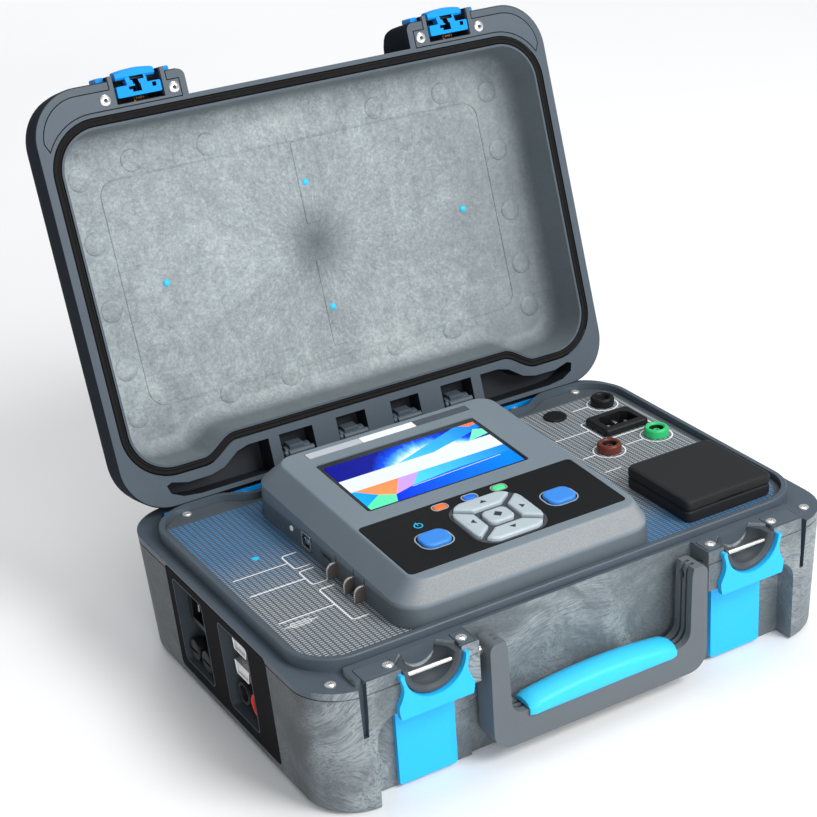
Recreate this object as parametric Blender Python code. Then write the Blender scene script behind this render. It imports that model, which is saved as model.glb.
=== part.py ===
"""Portable insulation resistance tester in a hinged carrying case.

Lengths below are millimetres and are scaled to metres when the meshes are made. +Z is up, the front of
the case faces -Y, X is left to right, and the origin is the centre of the flat underside. The lid is
modelled closed and then turned open about its hinge axis.
"""

import math

import bmesh
import bpy
from mathutils import Matrix, Vector

MM = 0.001
GAP = 0.3

# Case body
HALF_WIDTH = 153.5
FRONT = -107.9
FRONT_WALL = -93.0
SCOOP_WALL = -95.0
REAR = 111.5
FLANGE_Z = 69.0
PLATE_Z = 72.0
WALL = 3.2
DRAFT = math.tan(math.radians(2.6))
CORNER = 26.0
PILLAR_X = 124.0
SCOOP_TOP = 49.5
HANDLE_BAY = 67.5

# Sealing rim and panel
RIM_TOP = 75.6
RIM_HALF = 145.5
RIM_FRONT = -88.5
RIM_REAR_MID = 85.0
RIM_REAR_END = 94.2
RIM_THICK = 3.0
PANEL_Z = 72.0
PANEL_THICK = 2.5

# Latches
LATCH_X = 93.2
RECEIVER_Z = 70.5
RECEIVER_R = 16.2
CATCH_Y = -105.5
CATCH_Z = 66.0

# Lid, as closed
LID_PLANE = 76.0
LID_FLOOR = 105.0
LID_TOP = 108.6
LID_REAR = 113.3
LID_OPEN = 107.0
HINGE_Y = 104.5
HINGE_Z = 81.5
PIN_R = 2.0
KNUCKLES = (-51.4, -17.3, 17.3, 51.4)
KNUCKLE_LENGTH = 15.0
LATCH_PIVOT = (-102.8, 91.0)

# Console
CONSOLE_SLOPE = math.atan(0.05)
CONSOLE_EDGE_Y = -81.5
CONSOLE_EDGE_Z = 96.0
DISPLAY = (-70.0, 25.0, 69.0, 125.0)
KEYPAD = (-83.0, 42.0, 7.0, 57.5)
PAD = (-20.5, 28.2)
SIDE_KEYS = {"key_escape": (-57.0, 28.0), "key_tab": (15.6, 28.0)}
LAMPS = {"lamp_orange": -39.0, "lamp_blue": -21.6, "lamp_green": -4.3}
LAMP_Y = 52.6

# Handle
HANDLE_HALF = 66.0
HANDLE_PIVOT = (-102.5, 62.5)

COLOURS = {
    "grey_shell": (0.115, 0.142, 0.16, 1),
    "grey_smooth": (0.13, 0.165, 0.19, 1),
    "dark_trim": (0.085, 0.105, 0.12, 1),
    "blue": (0.02, 0.52, 1.0, 1),
    "black": (0.01, 0.01, 0.012, 1),
    "rubber": (0.02, 0.02, 0.022, 1),
    "steel": (0.75, 0.75, 0.74, 1),
    "green": (0.03, 0.5, 0.17, 1),
    "brown": (0.16, 0.03, 0.02, 1),
    "red": (0.7, 0.02, 0.02, 1),
    "key_white": (0.75, 0.8, 0.85, 1),
    "key_blue": (0.03, 0.22, 0.8, 1),
    "lamp_orange": (1.0, 0.22, 0.05, 1),
    "lamp_blue": (0.03, 0.22, 0.9, 1),
    "lamp_green": (0.1, 0.85, 0.3, 1),
    "screen": (0.02, 0.2, 0.9, 1),
    "board": (0.02, 0.15, 0.06, 1),
    "copper": (0.45, 0.2, 0.07, 1),
    "tab_brown": (0.09, 0.06, 0.05, 1),
}


def material(name):
    found = bpy.data.materials.get(name)
    if found:
        return found
    made = bpy.data.materials.new(name)
    made.use_nodes = True
    shader = made.node_tree.nodes["Principled BSDF"]
    shader.inputs["Base Color"].default_value = COLOURS[name]
    shader.inputs["Roughness"].default_value = 0.25 if name == "steel" else 0.5
    shader.inputs["Metallic"].default_value = 1.0 if name in ("steel", "copper") else 0.0
    return made


def rounded(x0, x1, y0, y1, radius, steps=4):
    """Corner-rounded rectangle as a counter-clockwise outline; radius may be one per corner."""
    radii = radius if isinstance(radius, tuple) else (radius,) * 4
    corners = ((x1, y0, -90), (x1, y1, 0), (x0, y1, 90), (x0, y0, 180))
    points = []
    for (x, y, start), r in zip(corners, radii):
        cx = x - r if x == x1 else x + r
        cy = y + r if y == y0 else y - r
        for i in range(steps + 1):
            angle = math.radians(start + 90 * i / steps)
            points.append((cx + r * math.cos(angle), cy + r * math.sin(angle)))
    return points


def circle(cx, cy, radius, steps=16, start=0.0, sweep=360.0):
    count = steps if sweep == 360.0 else steps + 1
    angles = (math.radians(start + sweep * i / steps) for i in range(count))
    return [(cx + radius * math.cos(a), cy + radius * math.sin(a)) for a in angles]


def offset(points, distance):
    """Outline moved outwards by distance, each corner along the mean of its edges' normals."""
    moved = []
    for i, point in enumerate(points):
        before, after = Vector(points[i - 1]), Vector(points[(i + 1) % len(points)])
        here = Vector(point)
        first, second = (here - before).normalized(), (after - here).normalized()
        normal = Vector((first.y + second.y, -first.x - second.x)).normalized()
        scale = distance / max(0.5, normal.dot(Vector((first.y, -first.x))))
        moved.append(tuple(here + normal * scale))
    return moved


def rim_path(grow=0.0):
    """Centre line of the sealing rim: a rounded rectangle whose rear side steps in behind the hinge."""
    path = []
    for cx, cy, start in ((1, -1, -90), (1, 1, 0)):
        x = cx * (RIM_HALF - 24)
        y = RIM_FRONT + 24 if cy < 0 else RIM_REAR_END - 24
        path += circle(x, y, 24, 5, start, 90)
    for x, blend in ((106, 0.0), (100, 0.25), (94, 0.6), (88, 0.92), (81, 1.0)):
        path.append((x, RIM_REAR_END + blend * (RIM_REAR_MID - RIM_REAR_END)))
    path += [(-x, y) for x, y in reversed(path[:])]
    return offset(path, grow)


def make(name, colour, mesh):
    obj = bpy.data.objects.new(name, mesh)
    bpy.context.collection.objects.link(obj)
    if colour:
        mesh.materials.append(material(colour))
    return obj


def loft(name, colour, rings):
    """Closed body through rings of points, each with the same number of points."""
    work = bmesh.new()
    rows = [[work.verts.new(Vector(p) * MM) for p in ring] for ring in rings]
    count = len(rows[0])
    for low, high in zip(rows, rows[1:]):
        for i in range(count):
            j = (i + 1) % count
            work.faces.new((low[i], low[j], high[j], high[i]))
    work.faces.new(list(reversed(rows[0])))
    work.faces.new(rows[-1])
    bmesh.ops.recalc_face_normals(work, faces=work.faces)
    mesh = bpy.data.meshes.new(name)
    work.to_mesh(mesh)
    work.free()
    return make(name, colour, mesh)


def along(axis, outline, level):
    """Outline placed across an axis: X takes (y, z), Y takes (x, z) and Z takes (x, y)."""
    if axis == "X":
        return [(level, a, b) for a, b in outline]
    if axis == "Y":
        return [(a, level, b) for a, b in outline]
    return [(a, b, level) for a, b in outline]


def prism(name, colour, outline, low, high, axis="Z"):
    return loft(name, colour, [along(axis, outline, low), along(axis, outline, high)])


def box(name, colour, x0, x1, y0, y1, z0, z1):
    return prism(name, colour, [(x0, y0), (x1, y0), (x1, y1), (x0, y1)], z0, z1)


def rod(name, colour, axis, centre, radius, low, high, steps=16):
    return prism(name, colour, circle(*centre, radius, steps), low, high, axis)


def combine(target, tools, operation):
    """Applies exact Booleans to target and removes the tools."""
    for tool in tools:
        boolean = target.modifiers.new("boolean", "BOOLEAN")
        boolean.operation = operation
        boolean.solver = "EXACT"
        boolean.object = tool
    bpy.context.view_layer.update()
    graph = bpy.context.evaluated_depsgraph_get()
    mesh = bpy.data.meshes.new_from_object(target.evaluated_get(graph))
    target.modifiers.clear()
    target.data = mesh
    for tool in tools:
        bpy.data.objects.remove(tool)
    work = bmesh.new()
    work.from_mesh(mesh)
    bmesh.ops.remove_doubles(work, verts=work.verts, dist=0.004 * MM)
    bmesh.ops.dissolve_degenerate(work, edges=work.edges, dist=0.002 * MM)
    work.to_mesh(mesh)
    work.free()
    return target


def cut(target, *tools):
    return combine(target, tools, "DIFFERENCE")


def fuse(target, *tools):
    return combine(target, tools, "UNION")


def pivot_at(obj, point):
    """Moves the object's origin to point, leaving its shape in place."""
    place = Vector(point) * MM
    obj.data.transform(Matrix.Translation(-place))
    obj.location = place
    return obj


def wall_x(z):
    """X of the left side wall's outer face at height z."""
    return -(HALF_WIDTH - (FLANGE_Z - z) * DRAFT)


def side_slab(name, colour, outline, out, deep):
    """Body lying in the left side wall: out beyond its face, and deep into the case."""
    outer = [(wall_x(z) - out, y, z) for y, z in outline]
    inner = [(wall_x(z) + deep, y, z) for y, z in outline]
    return loft(name, colour, [outer, inner])


def console_ring(outline, level):
    """Outline given on the sloping console top, lifted by level along its normal."""
    turn = Matrix.Rotation(CONSOLE_SLOPE, 3, "X")
    origin = Vector((0, CONSOLE_EDGE_Y, CONSOLE_EDGE_Z))
    return [tuple(origin + turn @ Vector((x, y, level))) for x, y in outline]


def console_prism(name, colour, outline, low, high, taper=0.0):
    top = offset(outline, -taper) if taper else outline
    return loft(name, colour, [console_ring(outline, low), console_ring(top, high)])


def mirrored(outline, side):
    """Outline with X turned over for the left side, kept counter-clockwise."""
    return outline if side > 0 else [(-x, y) for x, y in reversed(outline)]


def span(side, near, far):
    return (side * near, side * far) if side > 0 else (side * far, side * near)


SIDES = (("left", -1), ("right", 1))


def build_base_shell():
    shrink = FLANGE_Z * DRAFT
    rings = []
    for z, inset in ((0, shrink + 2.5), (3, shrink - 0.3), (FLANGE_Z, 0)):
        outline = rounded(-HALF_WIDTH + inset, HALF_WIDTH - inset, FRONT + inset * 0.4, REAR - inset, CORNER)
        rings.append(along("Z", outline, z))
    shell = loft("base_shell", "grey_shell", rings)
    blocks = prism("blocks", None, rounded(-131, 131, FRONT, FRONT_WALL + 2, 2), SCOOP_TOP, PLATE_Z)
    cavity = rounded(-HALF_WIDTH + 6.4, HALF_WIDTH - 6.4, FRONT_WALL + WALL, REAR - 6.4, 20)
    neck = rim_path(-6.5)
    seat = rim_path(-1.5)
    rim = prism("rim", None, rim_path(1.5), 60, RIM_TOP)
    fuse(shell, blocks, rim)
    cut(
        shell,
        prism("cavity", None, cavity, 3.5, 62),
        prism("neck", None, neck, 58, 80),
        prism("seat", None, seat, PANEL_Z - PANEL_THICK - GAP, 80),
        box("bay", None, -HANDLE_BAY, HANDLE_BAY, FRONT - 5, FRONT_WALL, -5, 80),
    )
    for name, side in SIDES:
        scoop = rounded(*span(side, HANDLE_BAY - 1, PILLAR_X), -5, SCOOP_TOP, (0.1, 12, 0.1, 0.1))
        if side < 0:
            scoop = rounded(*span(side, HANDLE_BAY - 1, PILLAR_X), -5, SCOOP_TOP, (0.1, 0.1, 12, 0.1))
        cut(shell, prism("scoop", None, scoop, FRONT - 5, SCOOP_WALL, "Y"))
        arc = circle(side * LATCH_X, RECEIVER_Z, RECEIVER_R, 12, 180, 180)
        pocket = arc + [(side * LATCH_X + RECEIVER_R, 75), (side * LATCH_X - RECEIVER_R, 75)]
        groove = rounded(*span(side, 128.4, 130.6), 38, 75, 0.2, 1)
        bore = rod("bore", None, "X", HANDLE_PIVOT, 2.8, *span(side, HANDLE_BAY - 2, 77))
        cut(
            shell,
            prism("pocket", None, pocket, FRONT - 5, -96, "Y"),
            prism("groove", None, groove, FRONT - 5, FRONT + 1.6, "Y"),
            bore,
        )
        for outline in trim_outlines(side):
            cut(shell, prism("trim_seat", None, offset(outline, GAP), PLATE_Z - 2.3, 80))
    plate = rounded(-57, 56, 6.5, 67.5, 3)
    trays = [rounded(13.1, 48.9, 13.1, 63.4, 3), rounded(-37.4, -4.1, 13.1, 63.4, 3)]
    cut(shell, side_slab("side_seat", None, offset(plate, GAP), 3, 2.2 + GAP))
    for tray in trays:
        cut(shell, side_slab("tray_way", None, offset(tray, 1.6), 2, 16))
    arms = []
    for x in KNUCKLES:
        low, high = x - KNUCKLE_LENGTH / 2, x + KNUCKLE_LENGTH / 2
        arms.append(box("arm", None, low, high, 102.2, 106.8, 60, HINGE_Z))
        arms.append(rod("barrel", None, "X", (HINGE_Y, HINGE_Z), 4.2, low, high))
    fuse(shell, *arms)
    cut(shell, rod("pin_way", None, "X", (HINGE_Y, HINGE_Z), PIN_R + 0.08, -60, 60))
    return shell


def trim_outlines(side):
    """The two screwed plates that close the top of one latch block."""
    outer = rounded(*span(side, LATCH_X + RECEIVER_R + GAP, 128.0), FRONT + 1.5, -95.5, 1.2, 2)
    inner = rounded(*span(side, HANDLE_BAY + 1.2, LATCH_X - RECEIVER_R - GAP), FRONT + 1.5, -95.5, 1.2, 2)
    return outer, inner


def build_latch_sides():
    for name, side in SIDES:
        cx = side * LATCH_X
        for label, outline in zip(("outer", "inner"), trim_outlines(side)):
            prism(f"base_trim_{name}_{label}", "dark_trim", outline, PLATE_Z - 2.0, PLATE_Z + 0.2)
        outer = circle(cx, RECEIVER_Z, RECEIVER_R - GAP, 12, 180, 180)
        inner = circle(cx, RECEIVER_Z, RECEIVER_R - 3.0, 12, 180, 180)
        arc = outer + list(reversed(inner))
        prism(f"latch_receiver_{name}", "dark_trim", arc, FRONT - 1.2, -96.3, "Y")
        rod(f"catch_pin_{name}", "steel", "X", (CATCH_Y, CATCH_Z), 1.2, cx - 11.4, cx + 11.4, 12)
        build_latch_plate(name, cx)


def build_latch_plate(name, cx):
    """Blue plate: a yoke under the receiver, a web below the block and an apron on the case wall."""
    ear = RECEIVER_R + 0.3
    arc = circle(cx, RECEIVER_Z, ear, 12, 180, 180)
    yoke = [(cx - 19.4, 47.0), (cx + 19.4, 47.0), (cx + 20.2, 54.0), (cx + 17.9, 62), (cx + 18.6, 70.0)]
    yoke += [(x, min(z, 70.0)) for x, z in reversed(arc)]
    yoke += [(cx - 18.6, 70.0), (cx - 17.9, 62), (cx - 20.2, 54.0)]
    plate = prism(f"latch_plate_{name}", "blue", yoke, FRONT - 3.4, FRONT - GAP, "Y")
    apron = rounded(cx - 16, cx + 16, 1.6, 49.0, 1.0, 2)
    fuse(
        plate,
        box("web", None, cx - 15.9, cx + 15.9, FRONT - 3.0, SCOOP_WALL - 0.5, 47.1, SCOOP_TOP - GAP),
        prism("apron", None, apron, SCOOP_WALL - 3.0, SCOOP_WALL - GAP, "Y"),
    )


def build_side_connectors():
    plate = side_slab("side_connector_plate", "black", rounded(-57, 56, 6.5, 67.5, 3), 0.2, 2.2)
    trays = [rounded(13.5, 48.5, 13.5, 63, 3), rounded(-37, -4.5, 13.5, 63, 3)]
    for tray in trays:
        fuse(plate, side_slab("tray", None, offset(tray, 1.3), 0.0, 12.0))
    for tray in trays:
        cut(plate, side_slab("tray_hollow", None, tray, 2.0, 10.0))
    face = wall_x(62) + 9.6
    inlet_hole = rounded(17, 45, 37.5, 59.5, 2)
    cut(plate, prism("inlet_hole", None, inlet_hole, -150, -130, "X"))
    inlet = prism("side_mains_inlet", "black", rounded(17.3, 44.7, 37.8, 59.2, 2), face - 4, face + 14, "X")
    cut(inlet, prism("mouth", None, rounded(20.5, 41.5, 41, 56, 2.5), face - 6, face + 11, "X"))
    pins = [box("pin", None, face - 1, face + 12, y - 0.8, y + 0.8, z - 2, z + 2) for y, z in ((24, 49), (31, 52), (38, 49))]
    fuse(inlet, *pins)
    for name, y in (("rear", 41.0), ("front", 26.5)):
        centre = (y, 21.5)
        cut(plate, rod("hole", None, "X", centre, 5.0, -150, -130))
        cap = rod(f"fuse_cap_{name}", "black", "X", centre, 6.4, face - 6.0, face - 0.2)
        fuse(cap, rod("stem", None, "X", centre, 4.7, face - 1, face + 12))
        cut(cap, box("slot", None, face - 7, face - 4.5, y - 4.5, y + 4.5, 20.8, 22.2))
        pivot_at(cap, (face, *centre))
    for name, z in (("upper", 54.5), ("lower", 40.5)):
        cut(plate, prism("hole", None, rounded(-29, -12, z - 4.2, z + 4.2, 0.3, 1), -150, -130, "X"))
        flange = rounded(-34, -7, z - 5.6, z + 5.6, 1.5, 2)
        port = prism(f"serial_connector_{name}", "steel", flange, face - 1.0, face - 0.25, "X")
        body = [(-28.5, z + 3.8), (-27.0, z - 3.8), (-14.0, z - 3.8), (-12.5, z + 3.8)]
        fuse(port, prism("body", None, body, face - 6.5, face + 8, "X"))
        hollow = [(-27.6, z + 3.0), (-26.4, z - 3.0), (-14.6, z - 3.0), (-13.4, z + 3.0)]
        cut(port, prism("hollow", None, hollow, face - 8, face - 2, "X"))
    for name, y in (("black", -16.0), ("red", -30.0)):
        centre = (y, 25.0)
        cut(plate, rod("hole", None, "X", centre, 5.4, -150, -130))
        build_socket(f"side_socket_{name}", name, "X", centre, face - 0.2, -1)


def build_socket(name, colour, axis, centre, level, way):
    """Shrouded 4 mm test socket whose collar rests on level and whose barrel goes through the panel."""
    collar = rod(name, colour, axis, centre, 6.8, *sorted((level, level + way * 5.0)))
    fuse(collar, rod("barrel", None, axis, centre, 5.1, *sorted((level + way, level - way * 14.0))))
    cut(collar, rod("bore", None, axis, centre, 3.9, *sorted((level + way * 6.0, level - way * 12.0))))
    fuse(collar, rod("post", None, axis, centre, 2.4, *sorted((level + way * 2.5, level - way * 13.0)), 12))
    return collar


def build_panel():
    panel = prism("panel_plate", "grey_smooth", rim_path(-1.5 - GAP), PANEL_Z - PANEL_THICK, PANEL_Z)
    sockets = {
        "socket_black": ("black", (128.0, 66.5)),
        "socket_green": ("green", (128.3, 15.2)),
        "socket_brown": ("brown", (95.7, 14.9)),
    }
    for name, (colour, centre) in sockets.items():
        cut(panel, rod("hole", None, "Z", centre, 5.4, 60, 80))
        build_socket(name, colour, "Z", centre, PANEL_Z + 0.2, 1)
    cut(panel, rod("hole", None, "Z", (95.9, 68.2), 5.4, 60, 80))
    cap = rod("blank_cap", "black", "Z", (95.9, 68.2), 6.7, PANEL_Z + 0.2, PANEL_Z + 1.4)
    fuse(cap, rod("stem", None, "Z", (95.9, 68.2), 5.1, PANEL_Z - 4, PANEL_Z + 1))
    inlet = (103.6, 133.2, 28.5, 50.0)
    cut(panel, prism("inlet_hole", None, rounded(105.2, 131.6, 30.1, 48.4, 2), 60, 80))
    body = prism("panel_mains_inlet", "black", rounded(*inlet, 2), PANEL_Z + GAP, PANEL_Z + 4.2)
    fuse(body, prism("body", None, rounded(105.5, 131.3, 30.4, 48.1, 2), PANEL_Z - 14, PANEL_Z + 2))
    mouth = [(108, 32.8), (128.8, 32.8), (128.8, 42.5), (125.5, 46), (111.3, 46), (108, 42.5)]
    cut(body, prism("mouth", None, mouth, PANEL_Z - 11, PANEL_Z + 6))
    blades = ((112.5, 38.0), (118.4, 41.5), (124.3, 38.0))
    fuse(body, *[box("blade", None, x - 0.9, x + 0.9, y - 2, y + 2, PANEL_Z - 12, PANEL_Z + 1) for x, y in blades])
    cut(panel, prism("outlet_hole", None, circle(104.8, -52.3, 21.0, 40), 60, 80))
    cut(panel, box("console_opening", None, -78, 40, -70, 50, 60, 80))
    build_test_socket()


def build_test_socket():
    """Mains test outlet on the panel, with a hinged splash cover."""
    x0, x1, y0, y1 = 77.0, 132.5, -79.0, -25.6
    centre = (104.8, -52.3)
    frame = prism("test_socket_frame", "black", rounded(x0, x1, y0, y1, 3.5), PANEL_Z + GAP, PANEL_Z + 6.6)
    cut(frame, prism("opening", None, circle(*centre, 21.0, 40), 60, 90))
    outlet = prism("test_socket_outlet", "black", circle(*centre, 20.6, 40), PANEL_Z - 16, PANEL_Z + 6.0)
    cut(outlet, prism("well", None, circle(*centre, 18.8, 40), PANEL_Z - 11, PANEL_Z + 8))
    holes = [rod("hole", None, "Z", (centre[0] + dx, centre[1]), 2.5, PANEL_Z - 15, PANEL_Z) for dx in (-9.5, 9.5)]
    cut(outlet, *holes)
    cover = prism("test_socket_cover", "black", rounded(x0, x1, y0, y1, 3.5), PANEL_Z + 7.0, PANEL_Z + 11.2)
    crown = rounded(x0, x1, y0, y1, 3.5)
    fuse(cover, loft("crown", None, [along("Z", crown, PANEL_Z + 11.0), along("Z", offset(crown, -1.6), PANEL_Z + 12.8)]))
    cut(cover, prism("underside", None, rounded(x0 + 2, x1 - 2, y0 + 2, y1 - 2, 2), PANEL_Z + 6, PANEL_Z + 10.4))
    pivot_at(cover, (centre[0], y1 + 0.2, PANEL_Z + 6.8))


def build_console():
    foot = rounded(-93.3, 54.5, -84.8, 75.0, 15)
    waist = rounded(-92.8, 54.0, -84.4, 74.5, 15)
    top = rounded(-84.0, 45.5, 0.5, 142.5, 9)
    rings = [
        along("Z", foot, PANEL_Z + GAP),
        [(x, y, 83.5 + 0.045 * (y + 84.4)) for x, y in waist],
        console_ring(offset(top, 0.8), -0.6),
        console_ring(offset(top, -0.2), 0.0),
    ]
    housing = loft("console_housing", "grey_smooth", rings)
    hollow = [
        along("Z", rounded(-87, 48, -79, 68, 8), 70),
        along("Z", rounded(-87, 48, -79, 68, 8), 80),
        console_ring(rounded(-79, 40.5, 5.5, 137.5, 5), -3.6),
    ]
    cut(housing, loft("hollow", None, hollow))
    window = rounded(*DISPLAY, 1.5, 2)
    pad_plate = rounded(*KEYPAD, 2.5, 3)
    cut(
        housing,
        console_prism("window_way", None, offset(window, GAP), -8, 3),
        console_prism("overlay_seat", None, offset(pad_plate, GAP), -0.8 - GAP, 3),
    )
    console_prism("display_window", "screen", window, -2.4, -0.4)
    console_prism("display_module", "steel", rounded(-74, 30, 63, 131, 2, 2), -10.5, -4.2)
    overlay = console_prism("keypad_overlay", "black", pad_plate, -0.8, 0.15)
    ways = []
    pad_hole = rounded(PAD[0] - 20.8, PAD[0] + 20.8, PAD[1] - 20.8, PAD[1] + 20.8, 11)
    cut(overlay, console_prism("pad_hole", None, pad_hole, -3, 3))
    for name, outline in key_outlines().items():
        colour = "key_blue" if name in SIDE_KEYS else "key_white"
        high = 1.9 if name in SIDE_KEYS else 2.3
        key = console_prism(name, colour, outline, -3.6, high - 0.7)
        fuse(key, console_prism("crown", None, offset(outline, -0.3), high - 1.2, high, 0.8))
        ways.append(offset(outline, 0.4))
        centre = sum((Vector(p) for p in outline), Vector((0, 0))) / len(outline)
        turn = Matrix.Rotation(CONSOLE_SLOPE, 3, "X")
        pivot_at(key, Vector((0, CONSOLE_EDGE_Y, CONSOLE_EDGE_Z)) + turn @ Vector((centre.x, centre.y, 0)))
    for name, x in LAMPS.items():
        outline = rounded(x - 3.8, x + 3.8, LAMP_Y - 2.3, LAMP_Y + 2.3, 1.8, 3)
        console_prism(name, name, outline, -3.2, 0.7, 0.4)
        ways.append(offset(outline, GAP))
    for outline in ways:
        cut(housing, console_prism("way", None, outline, -6, 3))
    for outline in ways[:2] + ways[7:]:
        cut(overlay, console_prism("way", None, outline, -3, 3))
    build_console_ports(housing)
    board = box("main_board", "board", -76, 38, -68, 48, 74.0, 75.6)
    fuse(board, box("processor", None, -40, -10, -20, 10, 75, 79), box("header", None, 10, 30, 20, 26, 75, 82))


def build_console_ports(housing):
    usb = prism("usb_port", "steel", rounded(8.5, 18.5, 74.5, 83.5, 1.2, 2), -93.6, -84, "X")
    cut(usb, prism("mouth", None, rounded(9.4, 17.6, 75.4, 82.6, 0.8, 2), -95, -87, "X"))
    fuse(usb, prism("tongue", None, rounded(11.2, 15.8, 77.4, 80.6, 0.4, 1), -93.0, -86, "X"))
    cut(housing, prism("usb_way", None, rounded(8.2, 18.8, 74.2, 83.8, 1.4, 2), -96, -82, "X"))
    cut(housing, prism("card_slot", None, rounded(-12.5, -0.5, 78.0, 80.2, 0.9, 2), -96, -82, "X"))
    for number, y in enumerate((-17.5, -35.0, -45.5), 1):
        blade = [(-94.4, 81.0), (-96.0, 80.6), (-97.6, 79.0), (-98.2, 77.0), (-98.2, 73.2), (-86.0, 73.2), (-86.0, 81.0)]
        prism(f"fuse_tab_{number}", "tab_brown", blade, y - 0.6, y + 0.6, "Y")
        cut(housing, box("tab_way", None, -96, -84, y - 0.9, y + 0.9, 72.7, 81.4))


def key_outlines():
    keys = {}
    for name, (x, y) in SIDE_KEYS.items():
        keys[name] = rounded(x - 7.9, x + 7.9, y - 6.6, y + 6.6, 4.8, 4)
    x, y = PAD
    keys["key_centre"] = rounded(x - 7.6, x + 7.6, y - 6.4, y + 6.4, 4, 3)
    quarter = [(-8.2, 9.0), (8.2, 9.0), (9.6, 10.2), (16.6, 15.4), (14.6, 18.2), (11.0, 19.8), (-11.0, 19.8)]
    quarter += [(-14.6, 18.2), (-16.6, 15.4), (-9.6, 10.2)]
    side = [(9.4, -6.6), (10.8, -7.8), (18.0, -13.6), (19.4, -11.6), (20.0, -8.6), (20.0, 8.6), (19.4, 11.6)]
    side += [(18.0, 13.6), (10.8, 7.8), (9.4, 6.6)]
    keys["key_up"] = [(x + a, y + b) for a, b in quarter]
    keys["key_down"] = [(x + a, y - b) for a, b in reversed(quarter)]
    keys["key_right"] = [(x + a, y + b) for a, b in side]
    keys["key_left"] = [(x - a, y + b) for a, b in reversed(side)]
    return keys


def build_power_stage():
    core = box("mains_transformer", "copper", 20, 90, -20, 20, 4.0, 60)
    fuse(core, rounded_coil())


def rounded_coil():
    return prism("coil", None, rounded(32, 78, -34, 34, 10), 12, 52)


def build_handle():
    outer = [(-66, 66), (-66, 15), (-63.5, 9), (-57, 5.5), (57, 5.5), (63.5, 9), (66, 15), (66, 66), (64, 68.6)]
    inner = [(55.5, 68.6), (54.5, 64), (53.5, 33), (51.5, 28.5), (47, 26), (-47, 26), (-51.5, 28.5)]
    inner += [(-53.5, 33), (-54.5, 64), (-55.5, 68.6), (-64, 68.6)]
    frame = prism("handle_frame", "grey_smooth", outer + inner, -111.6, -98.2, "Y")
    for side in (-1, 1):
        x0, x1 = span(side, 56.8, 63.0)
        cut(frame, prism("relief", None, rounded(x0, x1, 15, 52, 2.5, 3), -104.5, -90, "Y"))
        cut(frame, rod("bore", None, "X", HANDLE_PIVOT, PIN_R + 0.58, *span(side, 50, 70)))
    sections = []
    for x in (-44, -40, -22, 0, 22, 40, 44):
        lift = 3.4 * (1 - (x / 44) ** 2)
        tuck = 1.2 if abs(x) == 44 else 0.0
        profile = [(-98.6, 26.4), (-111.9, 26.4), (-111.9, 18.5), (-114.6 + tuck, 19.0), (-116.4 + tuck, 22.5 + lift)]
        profile += [(-115.4 + tuck, 26.6 + lift), (-111.6, 29.6 + lift - tuck), (-105.4, 30.6 + lift - tuck)]
        profile += [(-100.6, 29.4 + lift - tuck), (-98.6, 27.4 + lift - tuck)]
        sections.append(along("X", profile, x))
    grip = loft("handle_grip", "blue", sections)
    for name, side in SIDES:
        rod(f"handle_pin_{name}", "steel", "X", HANDLE_PIVOT, 2.5, *span(side, 57.5, 76.5), 20)
    for obj in (frame, grip):
        pivot_at(obj, (0, *HANDLE_PIVOT))


def lid_rings(profile, rear_share=1.0):
    rings = []
    for z, inset in profile:
        radius = max(CORNER - inset * 0.4, 8)
        outline = rounded(-HALF_WIDTH + inset, HALF_WIDTH - inset, FRONT + inset, LID_REAR - inset * rear_share, radius)
        rings.append(along("Z", outline, z))
    return rings


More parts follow.
